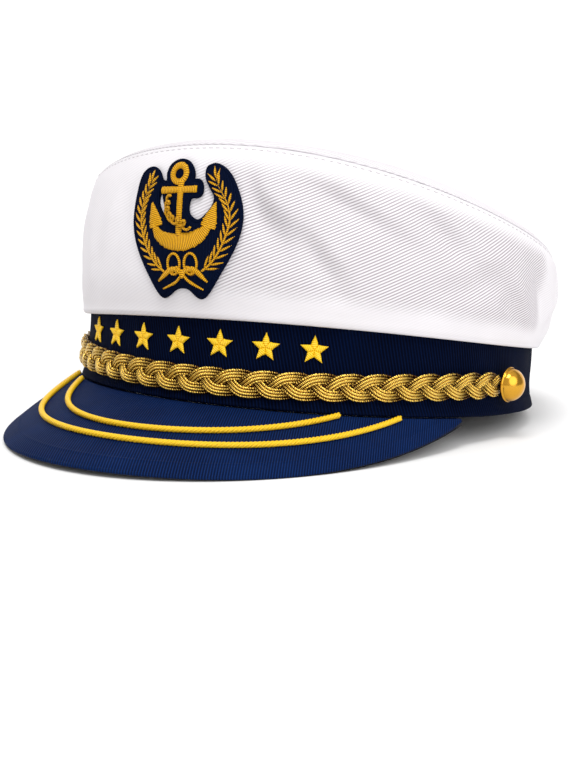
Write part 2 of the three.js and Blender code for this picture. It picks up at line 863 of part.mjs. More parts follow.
// A laurel branch: leaf tips stand out on both sides of a curved stem
function emblemBranch(side) {
  const rows = branchStem.map((row) => new THREE.Vector3(
    (side * row.across + branchShift) * patchHalfWidth,
    row.up * patchHalfHeight,
    0,
  ));
  const stem = new THREE.CatmullRomCurve3(rows);
  const leaves = [];
  for (const hand of [1, -1]) {
    const edge = [];
    for (let i = 0; i < leafPairs; i += 1) {
      const share = i / leafPairs;
      const root = stem.getPointAt(share);
      const along = stem.getTangentAt(share);
      const out = new THREE.Vector3(along.y, -along.x, 0).multiplyScalar(hand);
      for (const point of [{ along: 0, out: leafRoot }, leafBelly, leafTip]) {
        const corner = root.clone().addScaledVector(along, point.along * patchHalfWidth);
        edge.push(corner.addScaledVector(out, point.out * patchHalfWidth));
      }
    }
    leaves.push(edge);
  }
  const end = stem.getPointAt(1);
  const outline = [...leaves[0], end, ...leaves[1].reverse()];
  const shape = new THREE.Shape(outline.map((p) => new THREE.Vector2(p.x, p.y)));
  return bend(plate(shape, stitchThickness), stitchPlace);
}

function emblemBow() {
  const parts = [];
  const strip = bowStrip * patchHalfWidth;
  for (const loop of bowLoops) {
    const { x, y } = patchVector(loop);
    const outerWidth = loop.halfWidth * patchHalfWidth;
    const outerHeight = loop.halfHeight * patchHalfHeight;
    const shape = new THREE.Shape();
    shape.absellipse(x, y, outerWidth, outerHeight, 0, turn, false, 0);
    const hole = new THREE.Path();
    hole.absellipse(x, y, outerWidth - strip, outerHeight - strip, 0, turn, true, 0);
    shape.holes.push(hole);
    parts.push(plate(shape, stitchThickness));
  }
  for (const tail of bowTails) {
    parts.push(plate(stripShape(tail), stitchThickness));
  }
  const knot = new THREE.Shape();
  const [across, up] = bowTails[0].from;
  const knotMiddle = patchVector({ across, up });
  knot.absarc(knotMiddle.x, knotMiddle.y, knotRadius * patchHalfWidth, 0, turn, false);
  parts.push(plate(knot, stitchThickness));
  return bend(join(parts), stitchPlace);
}

function stripShape(tail) {
  const corners = [tail.from, tail.via, tail.to].map(([across, up]) => patchVector({ across, up }));
  const curve = new THREE.QuadraticBezierCurve(...corners);
  const half = (bowStrip * patchHalfWidth) / 2;
  const left = [];
  const right = [];
  for (let i = 0; i <= tailSteps; i += 1) {
    const point = curve.getPoint(i / tailSteps);
    const along = curve.getTangent(i / tailSteps);
    const out = new THREE.Vector2(along.y, -along.x).multiplyScalar(half);
    left.push(point.clone().add(out));
    right.push(point.clone().sub(out));
  }
  return new THREE.Shape([...left, ...right.reverse()]);
}

// Materials
const whiteTwill = { color: 0xf4f1f2, roughness: 0.9, metalness: 0 };
const navyTwill = { color: 0x0c1830, roughness: 0.85, metalness: 0 };
const goldThread = { color: 0xe0b23a, roughness: 0.4, metalness: 0.6 };
const yellowThread = { color: 0xf2be1e, roughness: 0.6, metalness: 0 };
const polishedGold = { color: 0xe8b23a, roughness: 0.2, metalness: 1 };

// The assembly, in the band's own frame
const hat = new THREE.Group();

function addPiece(name, geometry, finish) {
  const mesh = new THREE.Mesh(geometry, new THREE.MeshStandardMaterial(finish));
  mesh.name = name;
  hat.add(mesh);
  return mesh;
}

const bandMesh = addPiece('head_band', headBand(), navyTwill);
const peakMesh = addPiece('peak', peak(), navyTwill);
addPiece('crown_side', crownSide(), whiteTwill);
addPiece('crown_top', crownTop(), whiteTwill);
addPiece('peak_cord_outer', peakCord(outerCordSideInset, outerCordFrontInset), yellowThread);
addPiece('peak_cord_inner', peakCord(innerCordSideInset, innerCordFrontInset), yellowThread);
addPiece('chin_braid', chinBraid(), goldThread);
placeButton(addPiece('button_left', button(), polishedGold), 1);
placeButton(addPiece('button_right', button(), polishedGold), -1);
for (let i = 0; i < starCount; i += 1) {
  const position = i - (starCount - 1) / 2;
  addPiece(`band_star_${i + 1}`, bandStar(position), yellowThread);
}
addPiece('emblem_backing', emblemBacking(), navyTwill);
addPiece('emblem_anchor', emblemAnchor(), yellowThread);
addPiece('emblem_rope', emblemRope(), yellowThread);
addPiece('emblem_branch_left', emblemBranch(1), yellowThread);
addPiece('emblem_branch_right', emblemBranch(-1), yellowThread);
addPiece('emblem_bow', emblemBow(), yellowThread);

// The hat leans back until the peak and the back of the band touch the surface together
function lowest(mesh, tilt) {
  hat.rotation.x = -tilt;
  hat.updateMatrixWorld(true);
  return new THREE.Box3().setFromObject(mesh, true).min.z;
}

const steepest = rad(mostTilt);
function peakIsLower(share) {
  return lowest(peakMesh, share * steepest) < lowest(bandMesh, share * steepest);
}

hat.rotation.x = -halve(peakIsLower) * steepest;
hat.updateMatrixWorld(true);

// The object stands on z = 0 with the middle of its box over the origin
const part = new THREE.Group();
part.add(hat);
const extent = new THREE.Box3().setFromObject(hat, true);
const middle = extent.getCenter(new THREE.Vector3());
hat.position.set(-middle.x, -middle.y, -extent.min.z);

export default part;
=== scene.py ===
import json
import math

import bmesh
import bpy
import numpy as np
from mathutils import Matrix, Vector
from mathutils.geometry import delaunay_2d_cdt


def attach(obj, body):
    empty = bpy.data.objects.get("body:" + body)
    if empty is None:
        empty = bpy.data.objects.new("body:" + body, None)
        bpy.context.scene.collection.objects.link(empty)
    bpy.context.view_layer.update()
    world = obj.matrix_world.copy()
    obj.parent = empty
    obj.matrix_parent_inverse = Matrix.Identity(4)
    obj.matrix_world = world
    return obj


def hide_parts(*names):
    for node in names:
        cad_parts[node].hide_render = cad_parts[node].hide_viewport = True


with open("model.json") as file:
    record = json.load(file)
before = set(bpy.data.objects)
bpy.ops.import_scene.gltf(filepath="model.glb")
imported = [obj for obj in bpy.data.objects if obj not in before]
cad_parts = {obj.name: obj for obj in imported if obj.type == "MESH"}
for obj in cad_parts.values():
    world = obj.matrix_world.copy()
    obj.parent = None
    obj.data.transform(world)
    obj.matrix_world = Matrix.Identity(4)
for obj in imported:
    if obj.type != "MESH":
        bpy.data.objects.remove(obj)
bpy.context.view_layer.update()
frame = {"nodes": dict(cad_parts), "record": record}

MM = 0.001
TURN = 2 * math.pi

# Sizes of the part, in millimetres and degrees
CLEARANCE = 0.3
BAND_HALF_WIDTH = 92
BAND_HALF_LENGTH = 98
BAND_HEIGHT = 38
BAND_THICKNESS = 3
BAND_FLARE = 2.4
BAND_FLARE_HEIGHT = 14
CLOTH = 1.6
FOLD_OVERHANG = 3.2
FOLD_DROP = 11.4
CROWN_HEIGHT = 37.1
CROWN_SLOPE = 17.2
CROWN_LEAN = 1.9
SEAM_OVERHANGS = (2.1, 2.7, 3)
CROWN_BULGES = (5.5, 3.7, 4)
TOP_PUFF = (5.6, 6.5, 5)
TOP_DOME = 2
PEAK_REACH = 60.5
PEAK_SPAN = math.radians(70.4)
PEAK_CORNER_LIP = 0.6
PEAK_CENTRE = 24.3
PEAK_DROP = 18.5
PEAK_FALL = 2.07
PEAK_BULGE = 1.2
PEAK_SIDE_HOLLOW = 1
PEAK_THICKNESS = 2.4
CORD_DIAMETER = 2.3
CORD_INSETS = {"outer": (9, 18.5), "inner": (19, 28.5)}
BRAID_WIDTH = 11.3
BRAID_PITCH = 31.5
BRAID_STRAND_WIDTH = 5.6
BRAID_STRAND_THICKNESS = 1.5
BRAID_LIFT = 0.6
BRAID_HEIGHT = 12.5
BRAID_SAG = 3.8
BUTTON_DIAMETER = 14
BUTTON_DOME = 6.5
BUTTON_SHANK_DIAMETER = 4
BUTTON_ANGLE = math.radians(86.4)
STAR_DIAMETER = 11.2
STAR_WAIST = 0.45
STAR_COUNT = 7
STAR_PITCH = math.radians(11)
PATCH_HALF_WIDTH = 24
PATCH_HALF_HEIGHT = 25.3
PATCH_THICKNESS = 1.8
PATCH_HEIGHT = 64
PATCH_ACROSS = 2.4
PATCH_TURN = math.radians(5)

# Waves of the fold and of the top seam: turns, share of the slope, lead in degrees
FOLD_WAVES = ((1, 0.21, 28.5), (2, 0.12, 26.1))
SEAM_WAVES = ((1, 0.89, 2.7), (2, 0.34, 19.5))

# Rise and bulge of the crown's wall
WALL_RISES = (0, 0.05, 0.2, 0.42, 0.64, 0.83, 0.94, 1)
WALL_BULGES = (0, 0.22, 0.72, 1, 0.97, 0.7, 0.34, 0)

# Broad dents of the wall: half turns round, rise, width, height, depth, lean
DENTS = (
    (0.19, 0.62, 0.05, 0.5, 0.9, 0.12),
    (0.34, 0.72, 0.06, 0.3, 0.8, 0.1),
    (0.29, 0.36, 0.06, 0.26, 0.6, 0.05),
    (0.53, 0.5, 0.06, 0.4, 0.9, -0.08),
    (-0.3, 0.55, 0.07, 0.4, 0.9, -0.1),
    (-0.55, 0.5, 0.06, 0.4, 0.8, 0.08),
    (0.86, 0.45, 0.07, 0.4, 0.8, 0.06),
)

# The share of the wall under the top seam where dents fade out
DENT_FADE = 0.17

# Creases of the wall: degrees round, rise, slant in degrees, half length, width, depth
CREASES = (
    (19, 0.66, -48, 17, 6, 2.9),
    (31, 0.36, -50, 13, 4.5, 1.7),
    (38, 0.84, -22, 20, 4.5, 2.1),
    (60, 0.78, -30, 17, 4.5, 1.6),
    (70, 0.42, 22, 15, 5, 1.1),
    (82, 0.3, -34, 12, 4.5, 1.5),
    (97, 0.52, -42, 12, 5, 1.6),
    (108, 0.24, 30, 10, 4, 1),
    (-17, 0.66, 64, 15, 5.5, 1.2),
    (-27, 0.3, 80, 10, 4.5, 0.7),
    (112, 0.8, -52, 12, 4, 0.7),
    (150, 0.5, 70, 18, 5, 0.8),
    (185, 0.6, -60, 18, 6, 0.8),
    (215, 0.45, 65, 16, 5, 0.7),
    (245, 0.6, 35, 18, 5, 0.8),
    (275, 0.4, -25, 18, 5, 0.7),
    (305, 0.65, -50, 18, 5, 0.8),
)

# Rings of the top panel: share of its radius, of the edge puff and of the dome
TOP_RADII = (0, 0.4, 0.72, 0.9, 0.965, 1)
TOP_PUFFS = (1, 1, 1, 0.9, 0.55, 0)
TOP_DOMES = (1, 0.85, 0.4, 0.1, 0.03, 0)


def hat_frame():
    """The turn and place of the hat's own frame in the row frame, from the head band."""
    axis = frame["record"]["mounts"][0]["axis"]
    tilt = math.atan2(axis[1], -axis[2])
    turned = np.array(Matrix.Rotation(tilt, 3, "X"))
    band = frame["nodes"]["head_band"].data
    points = np.zeros(len(band.vertices) * 3)
    band.vertices.foreach_get("co", points)
    upright = points.reshape(-1, 3) @ turned
    low, high = upright.min(0), upright.max(0)
    centre = np.array([(low[0] + high[0]) / 2, (low[1] + high[1]) / 2, low[2]])
    return turned, turned @ centre


HAT_TURN, HAT_PLACE = hat_frame()


# Small helpers
def stack(*values):
    return np.stack(np.broadcast_arrays(*values), -1).astype(float)


def unit(vectors):
    return vectors / np.maximum(np.linalg.norm(vectors, axis=-1, keepdims=True), 1e-9)


def smooth_step(value, start, end):
    share = np.clip((value - start) / (end - start), 0, 1)
    return share * share * (3 - 2 * share)


def bell(value, width):
    return np.exp(-((value / width) ** 2))


def wrapped(angle):
    """The same angle, between minus and plus half a turn."""
    return np.arctan2(np.sin(angle), np.cos(angle))


def run_lengths(points):
    """The length along a line of points up to each of them."""
    return np.concatenate([[0], np.cumsum(np.linalg.norm(np.diff(points, axis=0), axis=1))])


def even_angles(count, more=0):
    """Even angles round a closed form, and so many more than close it."""
    return np.arange(count + more) * TURN / count


def headings(points):
    """The way ahead along a line of points, at each of them."""
    return unit(np.gradient(points, axis=0))


def leftward(ahead):
    """The directions square to these in the plane, on their left."""
    return np.stack([-ahead[:, 1], ahead[:, 0]], -1)


def even_route(points, step, least=2):
    """The same line with steps of equal length, and the length up to each of its points."""
    along = run_lengths(points)
    places = np.linspace(0, along[-1], max(least, int(along[-1] / step)))
    return np.stack([np.interp(places, along, column) for column in points.T], -1), places


def new_object(name, data):
    made = bpy.data.objects.new(name, data)
    bpy.context.scene.collection.objects.link(made)
    return made


def rows_of(*runs):
    """One column of values from runs of start, end and count."""
    return np.concatenate([np.linspace(*run) for run in runs])[:, None]


def closed(values):
    """Values on a closed grid, with their first row and column once more."""
    values = np.concatenate([values, values[:, :1]], 1)
    return np.concatenate([values, values[:1]])


def rounded_interp(value, places, levels, spread):
    """Straight lines between levels, with their corners rounded over a spread."""
    offsets = np.linspace(-spread, spread, 9)
    return sum(np.interp(value + offset, places, levels) for offset in offsets) / 9


def ripple(angle, height, size, turns, seed):
    """Smooth random waves that close round the head."""
    random = np.random.default_rng(seed)
    total = np.zeros(np.broadcast(angle, height).shape)
    for _ in range(14):
        around = int(random.integers(turns // 3, turns))
        upwards = random.uniform(-1, 1) * turns / 100
        lead = random.uniform(0, TURN)
        total += np.sin(around * angle + upwards * height + lead)
    return size * total / 4


# Surfaces of the hat
def oval(angle, grown, height):
    x = (BAND_HALF_WIDTH + grown) * np.sin(angle)
    y = -(BAND_HALF_LENGTH + grown) * np.cos(angle)
    return stack(x, y, height)


def band_face(height):
    share = np.clip(1 - height / BAND_FLARE_HEIGHT, 0, 1)
    return BAND_FLARE * share * share


def wave_height(waves, angle):
    total = sum(share * np.cos(turns * (angle - math.radians(lead))) for turns, share, lead in waves)
    return CROWN_SLOPE * total


def fold_height(angle):
    return BAND_HEIGHT - FOLD_DROP + wave_height(FOLD_WAVES, angle)


def seam_height(angle):
    return BAND_HEIGHT + CROWN_HEIGHT + wave_height(SEAM_WAVES, angle)


def around_value(angle, values):
    front, side, back = values
    end = np.where(np.cos(angle) > 0, front, back)
    return end + (side - end) * np.sin(angle) ** 2


def dent_depth(angle, rise):
    depth = 0
    for around, middle, width, height, deep, lean in DENTS:
        place = math.pi * (around + lean * (rise - middle))
        apart = wrapped(angle - place)
        depth = depth + deep * CLOTH * bell(apart, math.pi * width) * bell(rise - middle, height)
    return depth * np.minimum(1, (1 - rise) / DENT_FADE)


def wall_overhang(angle, rise):
    seam = around_value(angle, SEAM_OVERHANGS)
    bulge = around_value(angle, CROWN_BULGES) * rounded_interp(rise, WALL_RISES, WALL_BULGES, 0.06)
    return FOLD_OVERHANG + (seam - FOLD_OVERHANG) * rise + bulge - dent_depth(angle, rise)


def wall_height(angle, rise):
    low = fold_height(angle) + FOLD_OVERHANG / 2
    return low + (seam_height(angle) - low) * rise


def wall_point(angle, rise, out=0):
    point = oval(angle, wall_overhang(angle, rise) + out, wall_height(angle, rise))
    point[..., 0] += CROWN_LEAN * np.sqrt(np.clip(rise, 0, 1))
    return point


def on_crown(across, up, out):
    """A point of the patch: millimetres across and up from its middle, and out from the cloth."""
    radius = BAND_HALF_WIDTH + FOLD_OVERHANG + CROWN_BULGES[0]
    level = across * math.cos(PATCH_TURN) - up * math.sin(PATCH_TURN)
    height = across * math.sin(PATCH_TURN) + up * math.cos(PATCH_TURN)
    angle = (level + PATCH_ACROSS) / radius
    low = fold_height(angle) + FOLD_OVERHANG / 2
    rise = (PATCH_HEIGHT + height - low) / (seam_height(angle) - low)
    step = 0.02
    sideways = wall_point(angle + step, rise) - wall_point(angle - step, rise)
    upwards = wall_point(angle, rise + step) - wall_point(angle, rise - step)
    normal = unit(np.cross(sideways, upwards))
    return wall_point(angle, rise) + normal * np.asarray(out)[..., None]


# Weave coordinates are turns across the ribs, and how much the ribs' painted groove shade fades (in thread,
# how much painted shade lies on it)
RIDGE = (0.25, 0)


class Skin:
    """Points, faces and weave coordinates that become one piece."""

    def __init__(self):
        self.points = []
        self.faces = []
        self.weave = []
        self.paint = []
        self.count = 0

    def grid(self, points, weave=None, close_rows=False, close_columns=False, paint=None, caps=False):
        """Quads over rows and columns of points. weave has a row or column more where it closes."""
        rows, columns = points.shape[:2]
        i = np.arange(rows if close_rows else rows - 1)[:, None]
        j = np.arange(columns if close_columns else columns - 1)[None, :]
        near, far = i * columns, (i + 1) % rows * columns
        left, right = j, (j + 1) % columns
        quads = np.stack(np.broadcast_arrays(near + left, near + right, far + right, far + left), -1)
        shape = quads.shape[:2]
        if weave is None:
            weave = np.zeros((shape[0] + 1, shape[1] + 1, 2))
        weave = weave[: shape[0] + 1, : shape[1] + 1]
        corners = np.stack([weave[:-1, :-1], weave[:-1, 1:], weave[1:, 1:], weave[1:, :-1]], 2)
        self.points.append(points.reshape(-1, 3))
        self.faces.extend((quads.reshape(-1, 4) + self.count).tolist())
        self.weave.append(corners.reshape(-1, 2))
        paint = np.zeros(shape, int) if paint is None else np.broadcast_to(paint, shape)
        self.paint.extend(paint.reshape(-1).tolist())
        if caps:
            for start, forward in ((0, False), ((rows - 1) * columns, True)):
                loop = [self.count + start + k for k in range(columns)]
                self.faces.append(loop if forward else loop[::-1])
                self.weave.append(np.tile(RIDGE, (columns, 1)))
                self.paint.append(0)
        self.count += rows * columns

    def build(self, name, slot, *replaced, materials=()):
        """The finished piece, in the material of its slot where no others are named."""
        mesh = bpy.data.meshes.new(name)
        points = np.concatenate(self.points) * MM @ HAT_TURN.T + HAT_PLACE
        mesh.from_pydata(points.tolist(), [], self.faces)
        mesh.polygons.foreach_set("use_smooth", [True] * len(mesh.polygons))
        mesh.polygons.foreach_set("material_index", self.paint)
        layer = mesh.attributes.new("weave", "FLOAT_VECTOR", "CORNER")
        weave = np.pad(np.concatenate(self.weave), ((0, 0), (0, 1)))
        layer.data.foreach_set("vector", weave.reshape(-1))
        for material in materials or (slot,):
            mesh.materials.append(MATERIALS[material])
        mesh.update()
        return place_piece(name, mesh, replaced)


def place_piece(name, mesh, replaced):
    piece = new_object(name, mesh)
    face_outward(mesh)
    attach(piece, "root")
    if replaced:
        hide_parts(*replaced)
    return piece


def face_outward(mesh):
    shape = bmesh.new()
    shape.from_mesh(mesh)
    bmesh.ops.recalc_face_normals(shape, faces=shape.faces)
    shape.to_mesh(mesh)
    shape.free()


# Materials
def link_value(tree, value, socket):
    if isinstance(value, bpy.types.NodeSocket):
        tree.links.new(value, socket)
    else:
        socket.default_value = value


def maths(tree, kind, first, second=0.0):
    node = tree.nodes.new("ShaderNodeMath")
    node.operation = kind
    link_value(tree, first, node.inputs[0])
    link_value(tree, second, node.inputs[1])
    return node.outputs[0]


def mixed(tree, share, low, high):
    node = tree.nodes.new("ShaderNodeMix")
    node.data_type = "RGBA"
    link_value(tree, share, node.inputs["Factor"])
    link_value(tree, low, node.inputs[6])
    link_value(tree, high, node.inputs[7])
    return node.outputs[2]


def noise(tree, scale, detail=2.0):
    """Even random values in the row frame; scale is in blotches per metre."""
    node = tree.nodes.new("ShaderNodeTexNoise")
    node.inputs["Scale"].default_value = scale
    node.inputs["Detail"].default_value = detail
    place = tree.nodes.new("ShaderNodeTexCoord")
    tree.links.new(place.outputs["Object"], node.inputs["Vector"])
    return node.outputs["Fac"]


def bumped(tree, height, distance, strength=1.0):
    node = tree.nodes.new("ShaderNodeBump")
    node.inputs["Strength"].default_value = strength
    node.inputs["Distance"].default_value = distance * MM
    tree.links.new(height, node.inputs["Height"])
    return node.outputs["Normal"]


def shader(name, **values):
    material = bpy.data.materials.new(name)
    material.use_nodes = True
    tree = material.node_tree
    principled = tree.nodes["Principled BSDF"]
    for key, value in values.items():
        principled.inputs[key.replace("_", " ")].default_value = value
    return material, tree, principled


def weave_wave(tree):
    """The wave of the ribs from the piece's weave coordinates, and the weave's second value: how
    much the painted groove shade fades in twill, and how much painted shade lies on thread.
    """
    attribute = tree.nodes.new("ShaderNodeAttribute")
    attribute.attribute_name = "weave"
    parts = tree.nodes.new("ShaderNodeSeparateXYZ")
    tree.links.new(attribute.outputs["Vector"], parts.inputs[0])
    wave = maths(tree, "SINE", maths(tree, "MULTIPLY", parts.outputs[0], TURN))
    wave = maths(tree, "ADD", maths(tree, "MULTIPLY", wave, 0.5), 0.5)
    return wave, parts.outputs[1]


def twill(name, groove, ridge, depth, blotch, narrow, roughness, shine):
    """Ribbed cloth with fine fuzz and soft blotches of colour. Its grooves are painted darker as
    painted shade, and that shade fades by the weave's fade value, on the crown's wall a painted
    highlight where the light washes the ribs out; narrow is over 1 for narrow grooves, under 1 for narrow
    ribs."""
    material, tree, principled = shader(name, Roughness=roughness, Specular_IOR_Level=shine)
    rib, fade_and_shade = weave_wave(tree)
    valley = maths(tree, "POWER", maths(tree, "SUBTRACT", 1.0, rib), narrow)
    valley = maths(tree, "MULTIPLY", valley, maths(tree, "SUBTRACT", 1.0, fade_and_shade))
    fuzz = maths(tree, "MULTIPLY", noise(tree, CLOTH_FUZZ), 0.25)
    height = maths(tree, "SUBTRACT", fuzz, valley)
    cloudy = maths(tree, "MULTIPLY", noise(tree, CLOTH_CLOUDS), blotch)
    # painted shade: the colour darkens towards the groove colour in the grooves, less where the fade value
    # is high
    share = maths(tree, "ADD", maths(tree, "SUBTRACT", 1.0 - blotch / 2, valley), cloudy)
    tree.links.new(mixed(tree, share, groove, ridge), principled.inputs["Base Color"])
    tree.links.new(bumped(tree, height, depth), principled.inputs["Normal"])
    return material


def thread(name, shade, light, depth, lift, roughness, shine, metal):
    """Stitched or twisted thread: fine fibres, painted shade between them, and more painted shade
    where the weave's shade value lays it, as under the plait's crossings.
    """
    values = {"Roughness": roughness, "Specular_IOR_Level": shine, "Metallic": metal}
    material, tree, principled = shader(name, **values)
    rib, fade_and_shade = weave_wave(tree)
    fuzz = maths(tree, "MULTIPLY", noise(tree, THREAD_FUZZ), 0.4)
    height = maths(tree, "ADD", rib, fuzz)
    share = maths(tree, "ADD", maths(tree, "MULTIPLY", height, 0.85), lift)
    # painted shade laid on by the weave's second value, as where the plait's strands pass under
    share = maths(tree, "SUBTRACT", share, fade_and_shade)
    tree.links.new(mixed(tree, share, shade, light), principled.inputs["Base Color"])
    tree.links.new(bumped(tree, height, depth), principled.inputs["Normal"])
    return material


def polished(name, dull, bright):
    """Metal with faint smears in its polish."""
    material, tree, principled = shader(name, Metallic=1.0)
    smear = noise(tree, METAL_SMEARS, 4.0)
    tree.links.new(mixed(tree, smear, dull, bright), principled.inputs["Base Color"])
    rough = maths(tree, "ADD", maths(tree, "MULTIPLY", smear, 0.16), 0.1)
    tree.links.new(rough, principled.inputs["Roughness"])
    tree.links.new(bumped(tree, noise(tree, METAL_GRAIN), 0.03, 0.5), principled.inputs["Normal"])
    return material


# Blotches per metre of the noise in each material
CLOTH_FUZZ = 2600
CLOTH_CLOUDS = 60
THREAD_FUZZ = 1800
METAL_SMEARS = 220
METAL_GRAIN = 900

# Twills: groove colour, darker as painted shade in the grooves, ridge colour, depth of the ribs,
# blotches, narrowness of the grooves, roughness, shine
TWILLS = {
    "white_twill": ((0.33, 0.285, 0.315, 1), (0.79, 0.768, 0.795, 1), 0.1, 0.12, 1.8, 0.9, 0.2),
    "navy_twill": ((0.0008, 0.0035, 0.02, 1), (0.0045, 0.03, 0.142, 1), 0.1, 0.3, 0.35, 0.75, 0.06),
    # the peak's navy twill darkened as painted shade, for the band under the crown's overhang
    "shaded_navy_twill": ((0.0003, 0.0008, 0.005, 1), (0.0007, 0.0066, 0.036, 1), 0.1, 0.3, 0.35, 0.8, 0.03),
    "navy_felt": ((0.0006, 0.0015, 0.008, 1), (0.0024, 0.0065, 0.026, 1), 0.08, 0.4, 1.0, 0.95, 0.04),
    "black_lining": ((0.002, 0.002, 0.004, 1), (0.006, 0.006, 0.01, 1), 0.05, 0.4, 1.0, 0.6, 0.2),
}

# Threads: shade, light, depth of the fibres, lift of the light, roughness, shine, metal
THREADS = {
    "yellow_thread": ((0.6, 0.25, 0.001, 1), (1.0, 0.66, 0.008, 1), 0.1, 0.2, 0.4, 0.5, 0),
    "gold_thread": ((0.2, 0.06, 0.001, 1), (0.86, 0.45, 0.005, 1), 0.16, 0.0, 0.45, 0.25, 0),
    "gold_cord": ((0.05, 0.012, 0.001, 1), (1.0, 0.67, 0.13, 1), 0.11, 0.22, 0.2, 0.5, 0.9),
}

MATERIALS = {name: twill(name, *row) for name, row in TWILLS.items()}
MATERIALS.update({name: thread(name, *row) for name, row in THREADS.items()})
MATERIALS["gold_metal"] = polished("gold_metal", (0.54, 0.25, 0.02, 1), (0.78, 0.42, 0.05, 1))


def ribs(along, upwards, pitch, slant, fade_and_shade=0):
    """Weave coordinates for ribs that rise by a slant in degrees, and how much their painted groove shade
    fades.
    """
    turned = math.radians(slant)
    return stack((upwards * math.cos(turned) - along * math.sin(turned)) / pitch, fade_and_shade)


# The crown's wall, with its lower fold and the inside of the cloth
CROWN_COLUMNS = 540
CROWN_RIB_PITCH = 1.1
CROWN_RIB_SLANT = 26
WEAVE_RADIUS = 100
SEAM_STITCH_COUNT = 210
SEAM_STITCH_DEPTH = 1.1
SEAM_STITCH_RADIUS = 0.18
SEAM_ROLL = 0.3
SEAM_ROLL_WIDTH = 1.2
SEAM_GAP = 0.02
BACK_SEAM_ANGLE = math.radians(120)
STRIP_ANGLE = math.radians(97)
MEAN_RADIUS = (BAND_HALF_WIDTH + BAND_HALF_LENGTH) / 2

# Rows of points up the wall's face, closer under the seam, and down its back
FACE_RISES = rows_of((0, 0.93, 72), (0.94, 1, 22))
BACK_RISES = rows_of((0.985, 0.03, 26))


def crease_relief(angle, height, middle_height):
    """Creases, each a soft groove with a ridge beside it."""
    total = 0
    for around, rise, slant, length, width, depth in CREASES:
        apart = MEAN_RADIUS * wrapped(angle - math.radians(around))
        above = height - (middle_height + (rise - 0.5) * CROWN_HEIGHT)
        turned = math.radians(slant)
        along = apart * math.cos(turned) + above * math.sin(turned)
        across = above * math.cos(turned) - apart * math.sin(turned)
        shape = 0.7 * bell(across - 1.5 * width, width) - bell(across, width)
        total = total + depth * shape * bell(along, length)
    return total


def back_seam_relief(angle, rise):
    """The upright seams at the back quarter: a groove, and cloth that stands out behind it."""
    total = 0
    for side, size in ((1, 1), (-1, 0.6)):
        behind = wrapped(side * angle - BACK_SEAM_ANGLE)
        swell = smooth_step(behind, 0, 0.05) * (1 - smooth_step(behind, 0.1, 0.5))
        swell = swell * smooth_step(rise, 0.2, 0.55) * (1 - smooth_step(rise, 0.86, 0.99))
        total = total + size * (2.2 * swell - 0.7 * bell(behind, 0.012) * smooth_step(rise, 0.02, 0.1))
    return total


def under_seam(angle, rise):
    """Millimetres of wall between a point and the top seam."""
    return (1 - rise) * (wall_height(angle, 1) - wall_height(angle, 0))


def seam_roll(distance):
    """How far the cloth turns in beside the top seam."""
    return SEAM_ROLL * np.clip(1 - distance / SEAM_ROLL_WIDTH, 0, 1) ** 2


def seam_puckers(angle, distance):
    """Small gathers and stitch dimples beside the top seam."""
    patches = np.clip(ripple(angle, 0, 1.0, 12, 21), 0, 1.4)
    gathers = ripple(angle, 0, 0.3, 120, 5) * patches * bell(distance, 5.5)
    dimples = 0.13 * (1 + np.cos(SEAM_STITCH_COUNT * angle)) * bell(distance - SEAM_STITCH_DEPTH, 0.7)
    return (gathers - dimples) * smooth_step(distance, 0.1, 1.2)


def wall_relief(angle, rise):
    height = wall_height(angle, rise)
    middle = (fold_height(angle) + seam_height(angle)) / 2
    fade = smooth_step(rise, 0.03, 0.2) * (1 - smooth_step(rise, 0.9, 1))
    relief = crease_relief(angle, height, middle) + ripple(angle, height, 0.22, 20, 3)
    relief = (relief * fade + back_seam_relief(angle, rise)) * patch_calm(angle)
    distance = under_seam(angle, rise)
    return relief + seam_puckers(angle, distance) - seam_roll(distance)


def patch_calm(angle):
    """Relief fades out under the patch, so that the patch lies on the cloth."""
    return smooth_step(np.abs(wrapped(angle) - 0.02), 0.23, 0.31)


def rib_fade(angle, upwards):
    """How much the wall's ribs fade: painted highlight that washes out their painted groove shade in
    its hem, under its seam and at the front, and a fade in the smooth strip.
    """
    share = (upwards - upwards.min(0)) / (upwards.max(0) - upwards.min(0))
    # painted highlight: the hem and the cloth under the seam lose their painted groove shade
    middle = smooth_step(share, 0.1, 0.24) * (1 - smooth_step(share, 0.82, 0.97))
    # painted highlight: the front left, where the light falls brightest, loses its painted groove shade
    front = smooth_step(np.cos(angle + 0.5), 0.7, 0.94)
    strip = smooth_step(angle, STRIP_ANGLE - 0.04, STRIP_ANGLE + 0.04)
    strip = strip * (1 - smooth_step(angle, BACK_SEAM_ANGLE, BACK_SEAM_ANGLE + 0.3))
    return 0.92 * (1 - middle * (1 - 0.9 * np.maximum(front, strip)))


def crown_wall():
    round_angle = even_angles(CROWN_COLUMNS, 1)
    angle = round_angle[:-1]
    fold_radius = (FOLD_OVERHANG - CLEARANCE) / 2
    fold_bottom = fold_height(angle) + fold_radius
    tuck = np.linspace(0, 1, 5)[:-1, None]
    top = BAND_HEIGHT - CLOTH
    rows = [oval(angle, CLEARANCE, top + (fold_bottom - top) * tuck)]
    swing = np.linspace(0, math.pi, 13)[:-1, None]
    round_under = CLEARANCE + fold_radius * (1 - np.cos(swing))
    rows.append(oval(angle, round_under, fold_bottom - fold_radius * np.sin(swing)))
    rows.append(wall_point(angle, FACE_RISES, wall_relief(angle, FACE_RISES)))
    rows.append(wall_point(angle, BACK_RISES, wall_relief(angle, BACK_RISES) - CLOTH))
    inner = rows_of((0, 1, 4))
    inner_low = fold_bottom + CLOTH / 2
    rows.append(oval(angle, CLEARANCE + CLOTH, inner_low + (top - inner_low) * inner))
    points = np.concatenate(rows)
    upwards = closed(points[..., 2])
    # painted highlight: the ribs wash out where the light is brightest
    fade = rib_fade(round_angle, upwards)
    weave = ribs(round_angle * WEAVE_RADIUS, upwards, CROWN_RIB_PITCH, CROWN_RIB_SLANT, fade)
    skin = Skin()
    skin.grid(points, weave, close_rows=True, close_columns=True)
    skin.build("crown_wall_cloth", "white_twill", "crown_side")


